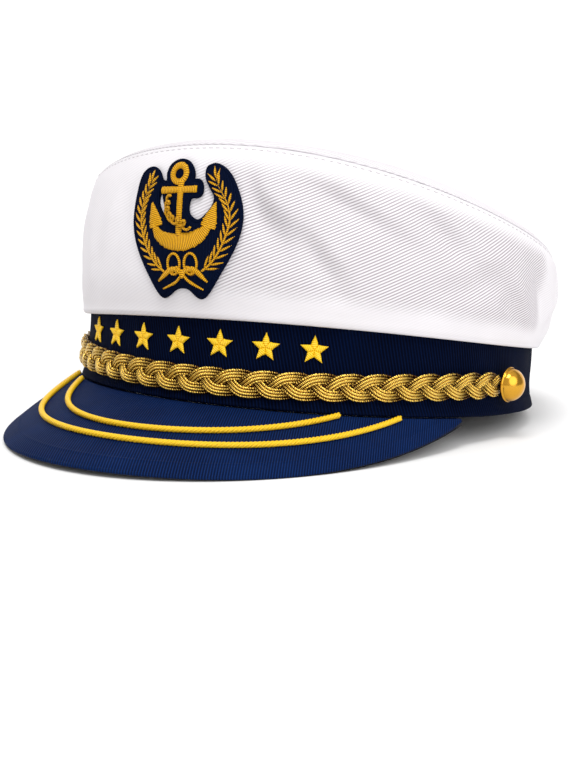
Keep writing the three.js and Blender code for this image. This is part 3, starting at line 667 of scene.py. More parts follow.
def top_point(angle, radius, inset):
    """A point of the top panel; inset is how far it lies under the outer face."""
    edge = oval(angle, around_value(angle, SEAM_OVERHANGS), seam_height(angle))
    level = sum(TOP_PUFF) / 3
    puff = level + (around_value(angle, TOP_PUFF) - level) * smooth_step(radius, 0, 0.4)
    puff = puff * rounded_interp(radius, TOP_RADII, TOP_PUFFS, 0.02)
    dome = TOP_DOME * rounded_interp(radius, TOP_RADII, TOP_DOMES, 0.04)
    mean = BAND_HEIGHT + CROWN_HEIGHT
    distance = (1 - radius) * MEAN_RADIUS
    rolled = seam_roll(distance)
    height = mean + (edge[..., 2] - mean) * radius + SEAM_GAP + puff + dome
    x = edge[..., 0] * radius
    y = edge[..., 1] * radius
    calm = smooth_step(radius, 0.0, 0.15) * (1 - smooth_step(radius, 0.9, 1))
    relief = 0.5 * np.sin(x / 17 + 0.6 * np.sin(y / 23)) * np.sin(y / 21 + 1.3) * calm
    height = height + relief + seam_puckers(angle, distance) - inset
    narrow = 1 - rolled / BAND_HALF_LENGTH
    return stack(x * narrow + CROWN_LEAN, y * narrow, height)


def crown_panel():
    angle = even_angles(CROWN_COLUMNS)
    outer = rows_of((1, 0.9, 34), (0.885, 0.004, 40))
    inner = rows_of((0.004, 0.9, 16), (0.93, 0.984, 4))
    points = np.concatenate([top_point(angle, inner, CLOTH), top_point(angle, outer, 0)])
    weave = ribs(closed(points[..., 0]), closed(points[..., 1]), CROWN_RIB_PITCH, CROWN_RIB_SLANT, 0.55)
    skin = Skin()
    skin.grid(points, weave, close_columns=True, caps=True)
    skin.build("crown_panel_cloth", "white_twill", "crown_top")


# The way up for the sections of a cord, which no cord runs along
SECTION_UP = (0.03, 0.05, 1.0)
FIBRE_PITCH = 0.5


def section_axes(centres):
    """Two directions square to a line of points, at each of them."""
    ahead = headings(centres)
    across = unit(np.cross(ahead, SECTION_UP))
    return across[:, None], np.cross(across, ahead)[:, None]


def tube(skin, centres, radii, sides, weave_pitch=FIBRE_PITCH, fade_and_shade=0.0):
    """A round tube along its centres, each with its own radius, closed at both ends."""
    across, upwards = section_axes(centres)
    turned = even_angles(sides)[:, None]
    ring = across * np.cos(turned) + upwards * np.sin(turned)
    radii = np.broadcast_to(radii, len(centres))[:, None, None]
    length = run_lengths(centres)[:, None] / weave_pitch
    fade_and_shade = np.broadcast_to(fade_and_shade, len(centres))[:, None]
    weave = stack(length + np.arange(sides + 1) / sides, fade_and_shade)
    skin.grid(centres[:, None] + ring * radii, weave, close_columns=True, caps=True)


def seam_stitches():
    """Short stitches beside the top seam, each sunk in its own dimple."""
    skin = Skin()
    ends = np.linspace(-1, 1, 7)
    for k in range(SEAM_STITCH_COUNT):
        angle = TURN / SEAM_STITCH_COUNT * (k + 0.3 * ends)
        rise = 1 - SEAM_STITCH_DEPTH / (wall_height(angle, 1) - wall_height(angle, 0))
        out = wall_relief(angle, rise) + 0.08 - 0.3 * np.abs(ends) ** 3
        tube(skin, wall_point(angle, rise, out), SEAM_STITCH_RADIUS, 6)
    skin.build("crown_seam_stitches", "white_twill")


# The band
BAND_COLUMNS = 480
BAND_LIP = 0.8
BAND_HEM = {"height": 5.2, "depth": 0.28, "width": 0.5}
BAND_RIB_PITCH = 1.3
BAND_RIB_SLANT = 105


def head_band():
    round_angle = even_angles(BAND_COLUMNS, 1)
    angle = round_angle[:-1]
    low = rows_of((BAND_LIP, 16, 30), (17, BAND_HEIGHT, 16))
    hem = BAND_HEM["depth"] * bell(low - BAND_HEM["height"], BAND_HEM["width"])
    slack = ripple(angle, low, 0.12, 30, 11) * smooth_step(low, 2, 6)
    outer = oval(angle, band_face(low) - hem + slack, low)
    inner_low = low[::-4]
    inner = oval(angle, band_face(inner_low) - BAND_THICKNESS, inner_low)
    middle = band_face(BAND_LIP) - BAND_THICKNESS / 2
    swing = np.linspace(0, math.pi, 9)[1:-1, None]
    reach = middle - BAND_THICKNESS / 2 * np.cos(swing)
    under = oval(angle, reach, BAND_LIP * (1 - np.sin(swing)))
    points = np.concatenate([outer, inner, under])
    paint = np.zeros(len(points), int)
    paint[len(outer) : len(outer) + len(inner) - 1] = 1
    weave = ribs(round_angle * WEAVE_RADIUS, closed(points[..., 2]), BAND_RIB_PITCH, BAND_RIB_SLANT)
    skin = Skin()
    skin.grid(points, weave, close_rows=True, close_columns=True, paint=paint[:, None])
    # the band's outer face takes the darker navy: painted shade from the crown's overhang
    skin.build("band_cloth", "navy_twill", "head_band", materials=("shaded_navy_twill", "black_lining"))


# The peak
CORNER = oval(PEAK_SPAN, BAND_FLARE, 0)
PEAK_HALF_LENGTH = BAND_HALF_LENGTH + PEAK_REACH - PEAK_CENTRE
PEAK_END_ANGLE = math.acos((-PEAK_CENTRE - CORNER[1]) / PEAK_HALF_LENGTH)
PEAK_HALF_WIDTH = (CORNER[0] + PEAK_CORNER_LIP) / math.sin(PEAK_END_ANGLE)
PEAK_LENGTH = CORNER[1] + BAND_HALF_LENGTH + PEAK_REACH
PEAK_RIB_PITCH = 1.15
PEAK_RIB_LEAN = math.tan(math.radians(24))
PEAK_RIB_FAN = 0.43
PEAK_WELT = 6.0
PEAK_RIM = 0.8
PEAK_COLUMNS = 261
PEAK_FACE_REACHES = rows_of((0, 0.8, 40), (0.81, 1, 34))
PEAK_RIM_ROWS = 12
PEAK_CLOTH_RIM_ROWS = 8


def peak_root(share):
    return oval(PEAK_SPAN * share, BAND_FLARE, -CLEARANCE)


def peak_edge(share):
    angle = PEAK_END_ANGLE * share
    x = PEAK_HALF_WIDTH * np.sin(angle)
    y = -PEAK_CENTRE - PEAK_HALF_LENGTH * np.cos(angle)
    back = np.clip((y + BAND_HALF_LENGTH + PEAK_REACH) / PEAK_LENGTH, 0, 1)
    return stack(x, y, -CLEARANCE - PEAK_DROP * (1 - back**PEAK_FALL))


def peak_width(share):
    return np.linalg.norm((peak_edge(share) - peak_root(share))[..., :2], axis=-1)


def peak_point(share, reach):
    """A point of the peak's upper face: share from the right corner -1 to the left one 1."""
    root, edge = peak_root(share), peak_edge(share)
    point = root + (edge - root) * np.asarray(reach)[..., None]
    bulge = PEAK_BULGE + (-PEAK_SIDE_HOLLOW - PEAK_BULGE) * share * share
    point[..., 2] += 4 * reach * (1 - reach) * bulge * peak_width(share) / PEAK_REACH
    return point


def peak_board():
    """The stiff peak: ribbed cloth rolled over a thin rim, and a black lining under it."""
    share = np.linspace(-1, 1, PEAK_COLUMNS)[None, :]
    width = peak_width(share)
    inset = width * (1 - PEAK_FACE_REACHES)
    rim = np.minimum(PEAK_RIM, width / 4)
    face = peak_point(share, PEAK_FACE_REACHES * (1 - rim / width))
    roll = np.clip(1 - inset / np.minimum(PEAK_WELT, width), 0, 1)
    welt = 0.22 * bell(inset - PEAK_WELT, 0.7) * smooth_step(width, 4, 12)
    face[..., 2] += welt - 0.8 * roll**2
    outward = unit((peak_edge(share) - peak_root(share)) * np.array([1, 1, 0]))
    swing = np.linspace(0, math.pi, PEAK_RIM_ROWS + 1)[1:, None]
    turned = face[-1:] + outward * (rim * np.sin(swing))[..., None]
    turned[..., 2] -= rim * (1 - np.cos(swing))
    under = peak_point(share, rows_of((0.985, 0, 20)))
    under[..., 2] -= PEAK_THICKNESS
    tuck = oval(PEAK_SPAN * share, BAND_FLARE - BAND_THICKNESS, -CLEARANCE)
    tuck_low = tuck - np.array([0, 0, PEAK_THICKNESS])
    points = np.concatenate([tuck, face, turned, under, tuck_low])
    x, y = points[..., 0], points[..., 1]
    fan = 1 + PEAK_RIB_FAN * x / PEAK_HALF_WIDTH
    across = (x + (y + BAND_HALF_LENGTH + PEAK_REACH) * PEAK_RIB_LEAN * fan) / PEAK_RIB_PITCH
    weave = stack(np.concatenate([across, across[:1]]), 0)
    cloth_rows = 1 + len(face) + PEAK_CLOTH_RIM_ROWS
    paint = (np.arange(len(points)) >= cloth_rows).astype(int)[None, :]
    skin = Skin()
    points, weave = np.swapaxes(points, 0, 1), np.swapaxes(weave, 0, 1)
    skin.grid(points, weave, close_columns=True, caps=True, paint=paint)
    skin.build("peak_cloth", "navy_twill", "peak", materials=("navy_twill", "black_lining"))


def inside_ellipse(point, half_width, half_length):
    across = point[..., 0] / half_width
    along = (point[..., 1] + PEAK_CENTRE) / half_length
    return across**2 + along**2 < 1


HALVINGS = 30


def halve(test, low, high):
    """Where a test turns from true to false, for many values at once."""
    for _ in range(HALVINGS):
        middle = (low + high) / 2
        passed = test(middle)
        low = np.where(passed, middle, low)
        high = np.where(passed, high, middle)
    return low


CORD_POINTS = 400
CORD_TWIST_PITCH = 6.4


def cord_route(side_inset, front_inset, count):
    """The middle of a cord on the peak, from corner to corner."""
    half_width = PEAK_HALF_WIDTH - side_inset
    half_length = PEAK_HALF_LENGTH - front_inset
    radius = CORD_DIAMETER / 2

    def start_inside(share):
        point = peak_point(share, (radius + CLEARANCE) / peak_width(share))
        return inside_ellipse(point, half_width, half_length)

    end = float(halve(start_inside, np.array(0.0), np.array(1.0)))
    share = np.linspace(-end, end, count)
    reach = halve(
        lambda value: inside_ellipse(peak_point(share, value), half_width, half_length),
        np.zeros(count),
        np.ones(count),
    )
    centres = peak_point(share, reach)
    centres[..., 2] += radius + 0.05
    return centres


# A twisted cord's core and strands, in shares of its radius
CORE_SHARE = 0.72
STRAND_SHARE = 0.46


def twisted_cord(skin, centres, radius, pitch, strands, step, sides):
    """Strands twisted round a core along a route."""
    route, along = even_route(centres, step)
    across, upwards = section_axes(route)
    strand_radius = radius * STRAND_SHARE
    tube(skin, route, radius * CORE_SHARE, sides)
    for k in range(strands):
        turned = TURN * (along / pitch + k / strands)[:, None, None]
        offset = (across * np.cos(turned) + upwards * np.sin(turned))[:, 0]
        tube(skin, route + offset * (radius - strand_radius), strand_radius, sides)


def peak_cord(which):
    skin = Skin()
    centres = cord_route(*CORD_INSETS[which], CORD_POINTS)
    twisted_cord(skin, centres, CORD_DIAMETER / 2, CORD_TWIST_PITCH, strands=4, step=0.42, sides=7)
    skin.build(f"{which}_peak_cord", "yellow_thread", f"peak_cord_{which}")


# The plaited chin cord: three strands, each of four cords side by side, the outer two beaded
BRAID_CORD_COUNT = 4
BRAID_CORDS_WIDTH = 4.4
BRAID_CORD_RADIUS = 0.58
BRAID_BEAD_PITCH = 1.35
BRAID_BEAD_RADII = (0.66, 0.36)
BRAID_PLAIN_RADIUS = 0.96
BRAID_DOME = (0.42, 0.2)
BRAID_ROUTE_POINTS = 2400


def braid_height(angle):
    return BRAID_HEIGHT - BRAID_SAG * np.cos(angle) ** 2


def on_band(angle, up, out):
    height = braid_height(angle) + up
    return oval(angle, band_face(height) + out, height)


def braid():
    gap = BUTTON_SHANK_DIAMETER / 2 + CLEARANCE + BRAID_STRAND_WIDTH / 2
    end_angle = BUTTON_ANGLE - gap / BAND_HALF_LENGTH
    length = 2 * end_angle * MEAN_RADIUS
    swing = (BRAID_WIDTH - BRAID_CORDS_WIDTH) / 2
    middle = CLEARANCE + BRAID_STRAND_THICKNESS / 2 + BRAID_LIFT
    along = np.linspace(0, 1, BRAID_ROUTE_POINTS)
    angle = end_angle * (2 * along - 1)
    from_end = (1 - np.abs(2 * along - 1)) * length / 2
    narrow = 1 - 0.15 * bell(from_end, 5)
    flat = 1 - 0.8 * bell(from_end, 4)
    skin = Skin()
    for strand in range(3):
        phase = TURN * (length * along / BRAID_PITCH + strand / 3)
        up = swing * narrow * (np.sin(phase) + 0.08 * np.sin(3 * phase))
        out = middle + 1.5 * BRAID_LIFT * np.sin(2 * phase) * flat
        # painted shade: each strand darkens where it dips under the others
        deep = ((1 - np.sin(2 * phase)) / 2) ** 1.3
        centre = on_band(angle, up, out)
        ahead = headings(centre)
        outward = unit(on_band(angle, up, out + 1) - centre)
        across = unit(np.cross(outward, ahead))
        for cord in range(BRAID_CORD_COUNT):
            place = cord - (BRAID_CORD_COUNT - 1) / 2
            offset = place * BRAID_CORDS_WIDTH / BRAID_CORD_COUNT
            dome = BRAID_DOME[0] - BRAID_DOME[1] * place**2
            route = centre + across * (offset * narrow)[:, None] + outward * dome
            beaded = abs(place) > 1
            step, sides, winding = (0.27, 6, 0.9) if beaded else (0.8, 8, 0.65)
            route, places = even_route(route, step)
            # the painted shade under the crossings, carried along the cord
            fade_and_shade = np.interp(np.linspace(0, 1, len(route)), along, deep)
            bead = np.abs(np.sin(math.pi * places / BRAID_BEAD_PITCH))
            share = BRAID_BEAD_RADII[0] + BRAID_BEAD_RADII[1] * bead if beaded else BRAID_PLAIN_RADIUS
            tube(skin, route, BRAID_CORD_RADIUS * share, sides, winding, fade_and_shade)
    skin.build("chin_plait", "gold_cord", "chin_braid")


# Buttons: the radius of the rim's edge, and how far the dome and the base stand in
BUTTON_RIM = 0.4
BUTTON_DOME_INSET = 0.35
BUTTON_BASE_INSET = 0.7
BUTTON_SIDES = 64


def button(side, name):
    """A polished dome on a rimmed base, turned about the way it faces."""
    base = BRAID_STRAND_THICKNESS + 2 * BRAID_LIFT + CLEARANCE
    radius = BUTTON_DIAMETER / 2
    shank = BUTTON_SHANK_DIAMETER / 2
    profile = [(0.001, 0), (shank, 0), (shank, base), (radius - BUTTON_BASE_INSET, base)]
    for swing in np.radians(np.linspace(-70, 60, 7)):
        reach = radius - BUTTON_RIM + BUTTON_RIM * math.cos(swing)
        profile.append((reach, base + BUTTON_RIM + BUTTON_RIM * math.sin(swing)))
    dome, foot = radius - BUTTON_DOME_INSET, 0.5
    for swing in np.radians(np.linspace(4, 89.5, 36)):
        profile.append((dome * math.cos(swing), base + foot + (BUTTON_DOME - foot) * math.sin(swing)))
    angle = side * BUTTON_ANGLE
    height = BRAID_HEIGHT
    seat = oval(angle, band_face(height - shank) + CLEARANCE, height)
    facing = unit(oval(angle, band_face(height) + 1, height) - oval(angle, band_face(height), height))
    sideways = unit(np.cross(np.array([0, 0, 1.0]), facing))
    upright = np.cross(facing, sideways)
    turned = even_angles(BUTTON_SIDES)[:, None]
    ring = sideways * np.cos(turned) + upright * np.sin(turned)
    skin = Skin()
    rows = [seat + facing * out + ring * reach for reach, out in profile]
    skin.grid(np.array(rows), close_columns=True, caps=True)
    skin.build(name + "_dome", "gold_metal", name)


# Satin stitching, laid on a curved surface
THREAD_PITCH = 0.7
THREAD_STEPS = 5
SATIN_COLUMNS = 9


def satin(skin, lay, route, half_widths, base, height, seed=1):
    """A raised bar of stitches: route is in the plane of the stitching, base is above the cloth."""
    middle, places = even_route(np.asarray(route, float), THREAD_PITCH / THREAD_STEPS, 4)
    length = places[-1]
    across = leftward(headings(middle))
    widths = np.interp(places / length, np.linspace(0, 1, len(half_widths)), half_widths)
    random = np.random.default_rng(seed)
    loose = random.uniform(0.92, 1.06, int(length / THREAD_PITCH) + 3)
    widths = widths * loose[(places / THREAD_PITCH).astype(int)] + 0.03
    thread_round = np.abs(np.sin(math.pi * places / THREAD_PITCH))
    share = np.linspace(-1, 1, SATIN_COLUMNS)
    dome = np.sqrt(1 - 0.92 * share**2)
    lift = base + height * dome[None, :] * (0.8 + 0.2 * thread_round[:, None])
    lift = lift * np.minimum(1, 0.55 + widths[:, None])
    flat = middle[:, None] + across[:, None] * (widths[:, None] * share[None, :])[..., None]
    under = middle[:, None] + across[:, None] * (widths[:, None] * np.array([1, 0, -1]))[..., None]
    plane = np.concatenate([flat, under], 1)
    out = np.concatenate([lift, np.full((len(places), 3), base - 0.05)], 1)
    weave = stack(places[:, None] / THREAD_PITCH - 0.25, np.zeros((1, plane.shape[1] + 1)))
    skin.grid(lay(plane[..., 0], plane[..., 1], out), weave, close_columns=True, caps=True)


STAR_THREAD_HEIGHT = 0.8


def star(index):
    """One stitched star: five kites of thread that meet in the middle."""
    angle = STAR_PITCH * (index - (STAR_COUNT + 1) / 2)
    outer = STAR_DIAMETER / 2
    height = (fold_height(angle) + braid_height(angle) + BRAID_WIDTH / 2) / 2
    height -= STAR_DIAMETER * (1 - math.cos(TURN / 10)) / 4

    def lay(across, up, out):
        level = height + up
        return oval(angle + across / MEAN_RADIUS, band_face(level) + out, level)

    waist = outer * STAR_WAIST
    knee = waist * math.cos(TURN / 10) / outer
    wide = waist * math.sin(TURN / 10)
    shares = np.linspace(0, 1, 40)
    widths = np.interp(shares, [0, knee, 1], [0, wide, 0])
    skin = Skin()
    for arm in range(5):
        turned = TURN * arm / 5
        tip = (outer * math.sin(turned), outer * math.cos(turned))
        satin(skin, lay, [(0, 0), tip], widths, CLEARANCE, STAR_THREAD_HEIGHT, arm)
    skin.build(f"stitched_star_{index}", "yellow_thread", f"band_star_{index}")


# The patch, in shares of its half width and half height
PATCH_OUTLINE = (
    (-0.1, 1), (0.06, 0.97), (0.16, 0.88), (0.2, 0.78), (0.2, 0.71), (0.3, 0.7), (0.36, 0.64),
    (0.37, 0.52), (0.31, 0.45), (0.17, 0.43), (0.14, 0.27), (0.2, 0.17), (0.32, 0.12), (0.45, 0.2),
    (0.56, 0.33), (0.58, 0.45), (0.5, 0.58), (0.42, 0.72), (0.42, 0.86), (0.5, 0.91), (0.6, 0.91),
    (0.74, 0.84), (0.87, 0.7), (0.97, 0.5), (1.03, 0.3), (1.04, 0.1), (0.98, -0.15), (0.83, -0.43),
    (0.6, -0.76), (0.45, -0.94), (0.35, -1), (0.26, -0.97), (0.14, -0.87), (0.01, -0.84),
    (-0.12, -0.87), (-0.26, -0.95), (-0.36, -0.98), (-0.46, -0.91), (-0.6, -0.69), (-0.76, -0.42),
    (-0.88, -0.15), (-0.94, 0.08), (-0.94, 0.3), (-0.92, 0.5), (-0.89, 0.7), (-0.84, 0.83),
    (-0.74, 0.9), (-0.62, 0.91), (-0.5, 0.85), (-0.42, 0.74), (-0.36, 0.7), (-0.3, 0.71),
    (-0.31, 0.82), (-0.25, 0.94),
)
PATCH_GAP = (
    (-0.4, 0.55), (-0.44, 0.42), (-0.38, 0.28), (-0.26, 0.16), (-0.2, 0.13), (-0.29, 0.28), (-0.35, 0.42),
)
ANCHOR_RING = {"middle": (-0.05, 0.79), "radius": 0.17, "hole": 0.078}
ANCHOR_STOCK = ((-0.35, 0.56), (0.29, 0.56))
ANCHOR_SHANK = ((0, 0.68), (0, -0.1))
ANCHOR_ARMS = ((-0.44, 0.1), (-0.44, 0.02), (-0.36, -0.09), (-0.18, -0.17), (0.04, -0.19), (0.26, -0.15),
               (0.42, -0.06), (0.52, 0.05), (0.53, 0.12))
ANCHOR_ARM_WIDTHS = (0.03, 0.07, 0.1, 0.12, 0.122, 0.115, 0.1, 0.07, 0.03)
ANCHOR_FLUKES = (((-0.43, 0.04), (-0.53, 0.4)), ((0.5, 0.01), (0.63, 0.37)))
ROPE_ROUTE = ((-0.19, 0.46, 0), (-0.21, 0.36, 0), (-0.21, 0.26, 0), (-0.15, 0.17, 0.2), (-0.05, 0.12, 1),
              (0.08, 0.08, 1), (0.18, 0.02, 0.8))
ROPE_LOOPS = 7
ROPE_LOOP_RADII = (0.95, 1.35)
ROPE_RADIUS = 0.56
ROPE_TWIST_PITCH = 2.2
ROPE_POINTS = 320
BRANCH_STEM = ((0.34, -0.61), (0.5, -0.49), (0.64, -0.31), (0.74, -0.11), (0.8, 0.1), (0.8, 0.3),
               (0.75, 0.47), (0.67, 0.64), (0.65, 0.72))
BRANCH_SHIFT = 0.05
BRANCH_BEND = 0.11
STEM_POINTS = 120
LEAF_PAIRS = 14
LEAF_PLACES = (4, 113)
LEAF_LENGTHS = (5.7, 4.4)
LEAF_SPREAD = math.radians(32)
BOW_LOOPS = ((-0.1, -0.5), (0.2, -0.5))
BOW_LOOP_HALF = (0.11, 0.15)
BOW_KNOT = ((0.05, -0.58), (0.05, -0.7))

# The bow's bars, each from the knot's middle
BOW_START = (0.05, -0.64)
BOW_LOBES = (((-0.14, -0.58), (-0.4, -0.74)), ((0.24, -0.58), (0.48, -0.76)))
BOW_TAILS = (
    ((-0.05, -0.55), (-0.15, -0.66)),
    ((0.15, -0.55), (0.25, -0.66)),
    ((-0.08, -0.76), (-0.33, -0.85)),
    ((0.17, -0.75), (0.4, -0.87)),
)

# Stitched bars of the emblem: half widths along them, height, and lift over the patch
BARS = {
    "stock": ((1.3, 1.15, 1.3), 1.0, 0),
    "shank": ((1.15, 1.15), 1.05, 0),
    "fluke": ((2.9, 2.8, 2.0, 1.1, 0.1), 0.9, 0),
    "stem": ((0.4, 0.34, 0.2), 0.5, 0),
    "leaf": ((0.12, 0.36, 0.4, 0.28, 0.06), 0.75, 0),
    "loop": ((0.42, 0.42), 0.8, 0),
    "lobe": ((0.4, 0.95, 0.9, 0.3), 0.85, 0.1),
    "tail": ((0.4, 0.5, 0.25), 0.8, 0.1),
    "knot": ((0.6, 1.3, 0.6), 1.1, 0.1),
}

# The felt, and the overcast stitching round its edge
PATCH_SEAT = 0.1
STITCH_BASE = PATCH_SEAT + PATCH_THICKNESS
OUTLINE_POINTS = 220
GAP_POINTS = 40
FELT_STEP = 1.0
FELT_PITCH = 0.6
RIM_POINTS = 1500
RIM_SIDES = 10
RIM_RADIUS = 0.95
RIM_INSET = 0.55
RIM_STITCH_PITCH = 0.75


def bar(skin, kind, route, seed=1):
    """One of the emblem's stitched bars along a route on the patch."""
    half_widths, height, lift = BARS[kind]
    satin(skin, on_crown, route, half_widths, STITCH_BASE + lift, height, seed)


def unit_circle(count):
    """Points round a circle of radius 1, from its top and back to it."""
    turned = np.linspace(0, TURN, count)
    return np.stack([np.sin(turned), np.cos(turned)], -1)


def in_patch(points):
    return np.asarray(points, float)[:, :2] * np.array([PATCH_HALF_WIDTH, PATCH_HALF_HEIGHT])


def closed_curve(points, count):
    """A smooth closed curve through points."""
    return spline(np.concatenate([points[-2:], points, points[:3]]), 2, len(points), count, False)


def open_curve(points, count):
    first, last = 2 * points[0] - points[1], 2 * points[-1] - points[-2]
    return spline(np.concatenate([[first], points, [last]]), 1, len(points) - 1, count, True)


def spline(points, start, spans, count, ends):
    """A Catmull-Rom curve over so many spans, from the point numbered start."""
    place = np.linspace(0, spans, count, endpoint=ends)
    span = np.minimum(place.astype(int), spans - 1)
    t = (place - span)[:, None]
    a, b, c, d = (points[start + span + k] for k in (-1, 0, 1, 2))
    return 0.5 * (2 * b + (c - a) * t + (2 * a - 5 * b + 4 * c - d) * t**2 + (3 * b - a - 3 * c + d) * t**3)


def inside_loop(point, loop):
    """True for points inside a closed outline."""
    x, y = point[..., 0:1], point[..., 1:2]
    ax, ay = loop[:, 0], loop[:, 1]
    bx, by = np.roll(ax, -1), np.roll(ay, -1)
    crosses = ((ay > y) != (by > y)) & (x < (bx - ax) * (y - ay) / (by - ay + 1e-12) + ax)
    return crosses.sum(-1) % 2 == 1


def edge_distance(point, loop):
    a, b = loop, np.roll(loop, -1, 0)
    side = b - a
    share = ((point[:, None] - a) * side).sum(-1) / (side * side).sum(-1)
    near = a + side * np.clip(share, 0, 1)[..., None]
    return np.linalg.norm(point[:, None] - near, axis=-1).min(1)


def on_felt(points, outline, gap):
    return inside_loop(points, outline) & ~inside_loop(points, gap)


def felt_inset(points, outline, gap):
    """How far points lie from the felt's nearest edge."""
    return np.minimum(edge_distance(points, outline), edge_distance(points, gap))


def loop_edges(start, count):
    return [(start + k, start + (k + 1) % count) for k in range(count)]


def patch_felt():
    """The felt of the patch, with soft edges and the narrow gap beside the rope."""
    outline = closed_curve(in_patch(PATCH_OUTLINE), OUTLINE_POINTS)
    gap = closed_curve(in_patch(PATCH_GAP), GAP_POINTS)
    across = np.arange(-PATCH_HALF_WIDTH, PATCH_HALF_WIDTH, FELT_STEP)
    up = np.arange(-PATCH_HALF_HEIGHT, PATCH_HALF_HEIGHT, FELT_STEP)
    inner = np.stack(np.meshgrid(across, up), -1).reshape(-1, 2)
    inner = inner[on_felt(inner, outline, gap)]
    inner = inner[felt_inset(inner, outline, gap) > FELT_STEP / 2]
    loops = np.concatenate([outline, gap, inner])
    edges = loop_edges(0, OUTLINE_POINTS) + loop_edges(OUTLINE_POINTS, GAP_POINTS)
    made = delaunay_2d_cdt([Vector(p) for p in loops], edges, [], 1, 1e-5)
    flat = np.array([tuple(p) for p in made[0]])
    faces = np.array([tuple(f) for f in made[2]])
    faces = faces[on_felt(flat[faces].mean(1), outline, gap)]
    inset = felt_inset(flat, outline, gap)
    top = PATCH_SEAT + PATCH_THICKNESS * (0.55 + 0.45 * smooth_step(inset, 0, 1.2))
    above = on_crown(flat[:, 0], flat[:, 1], top)
    below = on_crown(flat[:, 0], flat[:, 1], np.full(len(flat), PATCH_SEAT))
    count = len(flat)
    sides = dict.fromkeys((face[k], face[(k + 1) % 3]) for face in faces.tolist() for k in range(3))
    walls = [[a + count, b + count, b, a] for a, b in sides if (b, a) not in sides]
    skin = Skin()
    skin.points.append(np.concatenate([above, below]))
    skin.faces = faces.tolist() + (faces[:, ::-1] + count).tolist() + walls
    skin.weave = [stack([flat[c % count][0] / FELT_PITCH for c in face], 0) for face in skin.faces]
    skin.paint = [0] * len(skin.faces)
    skin.build("patch_felt", "navy_felt", "emblem_backing")


def patch_rim():
    """Overcast stitching round the patch's edge."""
    outline = closed_curve(in_patch(PATCH_OUTLINE), RIM_POINTS)
    inward = unit(leftward(np.roll(outline, 1, 0) - np.roll(outline, -1, 0)))
    along = np.cumsum(np.linalg.norm(outline - np.roll(outline, 1, 0), axis=1))
    turns = round(along[-1] / RIM_STITCH_PITCH)
    wave = (along / along[-1] * turns)[:, None]
    turned = even_angles(RIM_SIDES)
    reach = RIM_RADIUS * (0.86 + 0.14 * np.abs(np.sin(math.pi * (wave + turned / TURN))))
    plane = outline[:, None] + inward[:, None] * (RIM_INSET + reach * np.cos(turned))[..., None]
    out = STITCH_BASE - PATCH_THICKNESS / 2 + reach * np.sin(turned) * 1.02
    points = on_crown(plane[..., 0], plane[..., 1], out)
    weave = stack(np.linspace(0, 2 * turns, RIM_POINTS + 1)[:, None], np.zeros((1, RIM_SIDES + 1)))
    skin = Skin()
    skin.grid(points, weave, close_rows=True, close_columns=True)
    skin.build("patch_rim_stitching", "navy_felt")


def anchor():
    skin = Skin()
    radius, hole = (ANCHOR_RING[part] * PATCH_HALF_WIDTH for part in ("radius", "hole"))
    circle = in_patch([ANCHOR_RING["middle"]]) + (radius + hole) / 2 * unit_circle(60)
    satin(skin, on_crown, circle, [(radius - hole) / 2] * 2, STITCH_BASE, 0.95)
    bar(skin, "stock", in_patch(ANCHOR_STOCK))
    bar(skin, "shank", in_patch(ANCHOR_SHANK))
    widths = np.array(ANCHOR_ARM_WIDTHS) * PATCH_HALF_HEIGHT
    satin(skin, on_crown, open_curve(in_patch(ANCHOR_ARMS), 90), widths, STITCH_BASE, 1.0)
    for fluke in ANCHOR_FLUKES:
        bar(skin, "fluke", in_patch(fluke))
    skin.build("anchor_stitching", "yellow_thread", "emblem_anchor", materials=("gold_thread",))


def rope():
    """A thin cord laid in small loops along its route."""
    skin = Skin()
    smooth = open_curve(np.array(ROPE_ROUTE, float), ROPE_POINTS)
    share = np.linspace(0, 1, ROPE_POINTS)
    turned = TURN * ROPE_LOOPS * share
    reach = np.interp(share, [0, 1], ROPE_LOOP_RADII)[:, None]
    flat = in_patch(smooth) + reach * np.stack([np.cos(turned), np.sin(turned)], -1)
    out = STITCH_BASE + 0.6 + smooth[:, 2] + 0.3 * np.sin(turned + 1)
    centres = on_crown(flat[:, 0], flat[:, 1], out)
    twisted_cord(skin, centres, ROPE_RADIUS, ROPE_TWIST_PITCH, strands=3, step=0.25, sides=6)
    skin.build("rope_stitching", "yellow_thread", "emblem_rope", materials=("gold_thread",))


def branch(side, name):
    """A laurel branch: a stem, pairs of slender, pointed leaves, and one leaf at its tip."""
    skin = Skin()
    rows = np.array(BRANCH_STEM) * np.array([side, 1]) + np.array([BRANCH_SHIFT, 0])
    if side > 0:
        rows[:, 0] -= BRANCH_BEND * smooth_step(rows[:, 1], 0.1, 0.72)
    stem = open_curve(in_patch(rows), STEM_POINTS)
    bar(skin, "stem", stem)
    ahead = headings(stem)
    across = leftward(ahead)
    for pair in range(LEAF_PAIRS + 1):
        share = pair / LEAF_PAIRS
        at = int(min(LEAF_PLACES[0] + share * LEAF_PLACES[1], STEM_POINTS - 1))
        for hand in (-1, 1) if pair < LEAF_PAIRS else (0,):
            spread = LEAF_SPREAD * hand
            way = ahead[at] * math.cos(spread) + across[at] * math.sin(spread)
            start = stem[at] + across[at] * hand * 0.2
            bar(skin, "leaf", [start, start + way * np.interp(share, [0, 1], LEAF_LENGTHS)], pair)
    skin.build(name + "_leaves", "yellow_thread", name, materials=("gold_thread",))


def bow():
    skin = Skin()
    for middle in BOW_LOOPS:
        bar(skin, "loop", in_patch([middle]) + in_patch([BOW_LOOP_HALF]) * unit_circle(50))
    for kind, routes in (("lobe", BOW_LOBES), ("tail", BOW_TAILS)):
        for route in routes:
            bar(skin, kind, open_curve(in_patch((BOW_START, *route)), 30))
    bar(skin, "knot", in_patch(BOW_KNOT))
    skin.build("bow_stitching", "yellow_thread", "emblem_bow", materials=("gold_thread",))


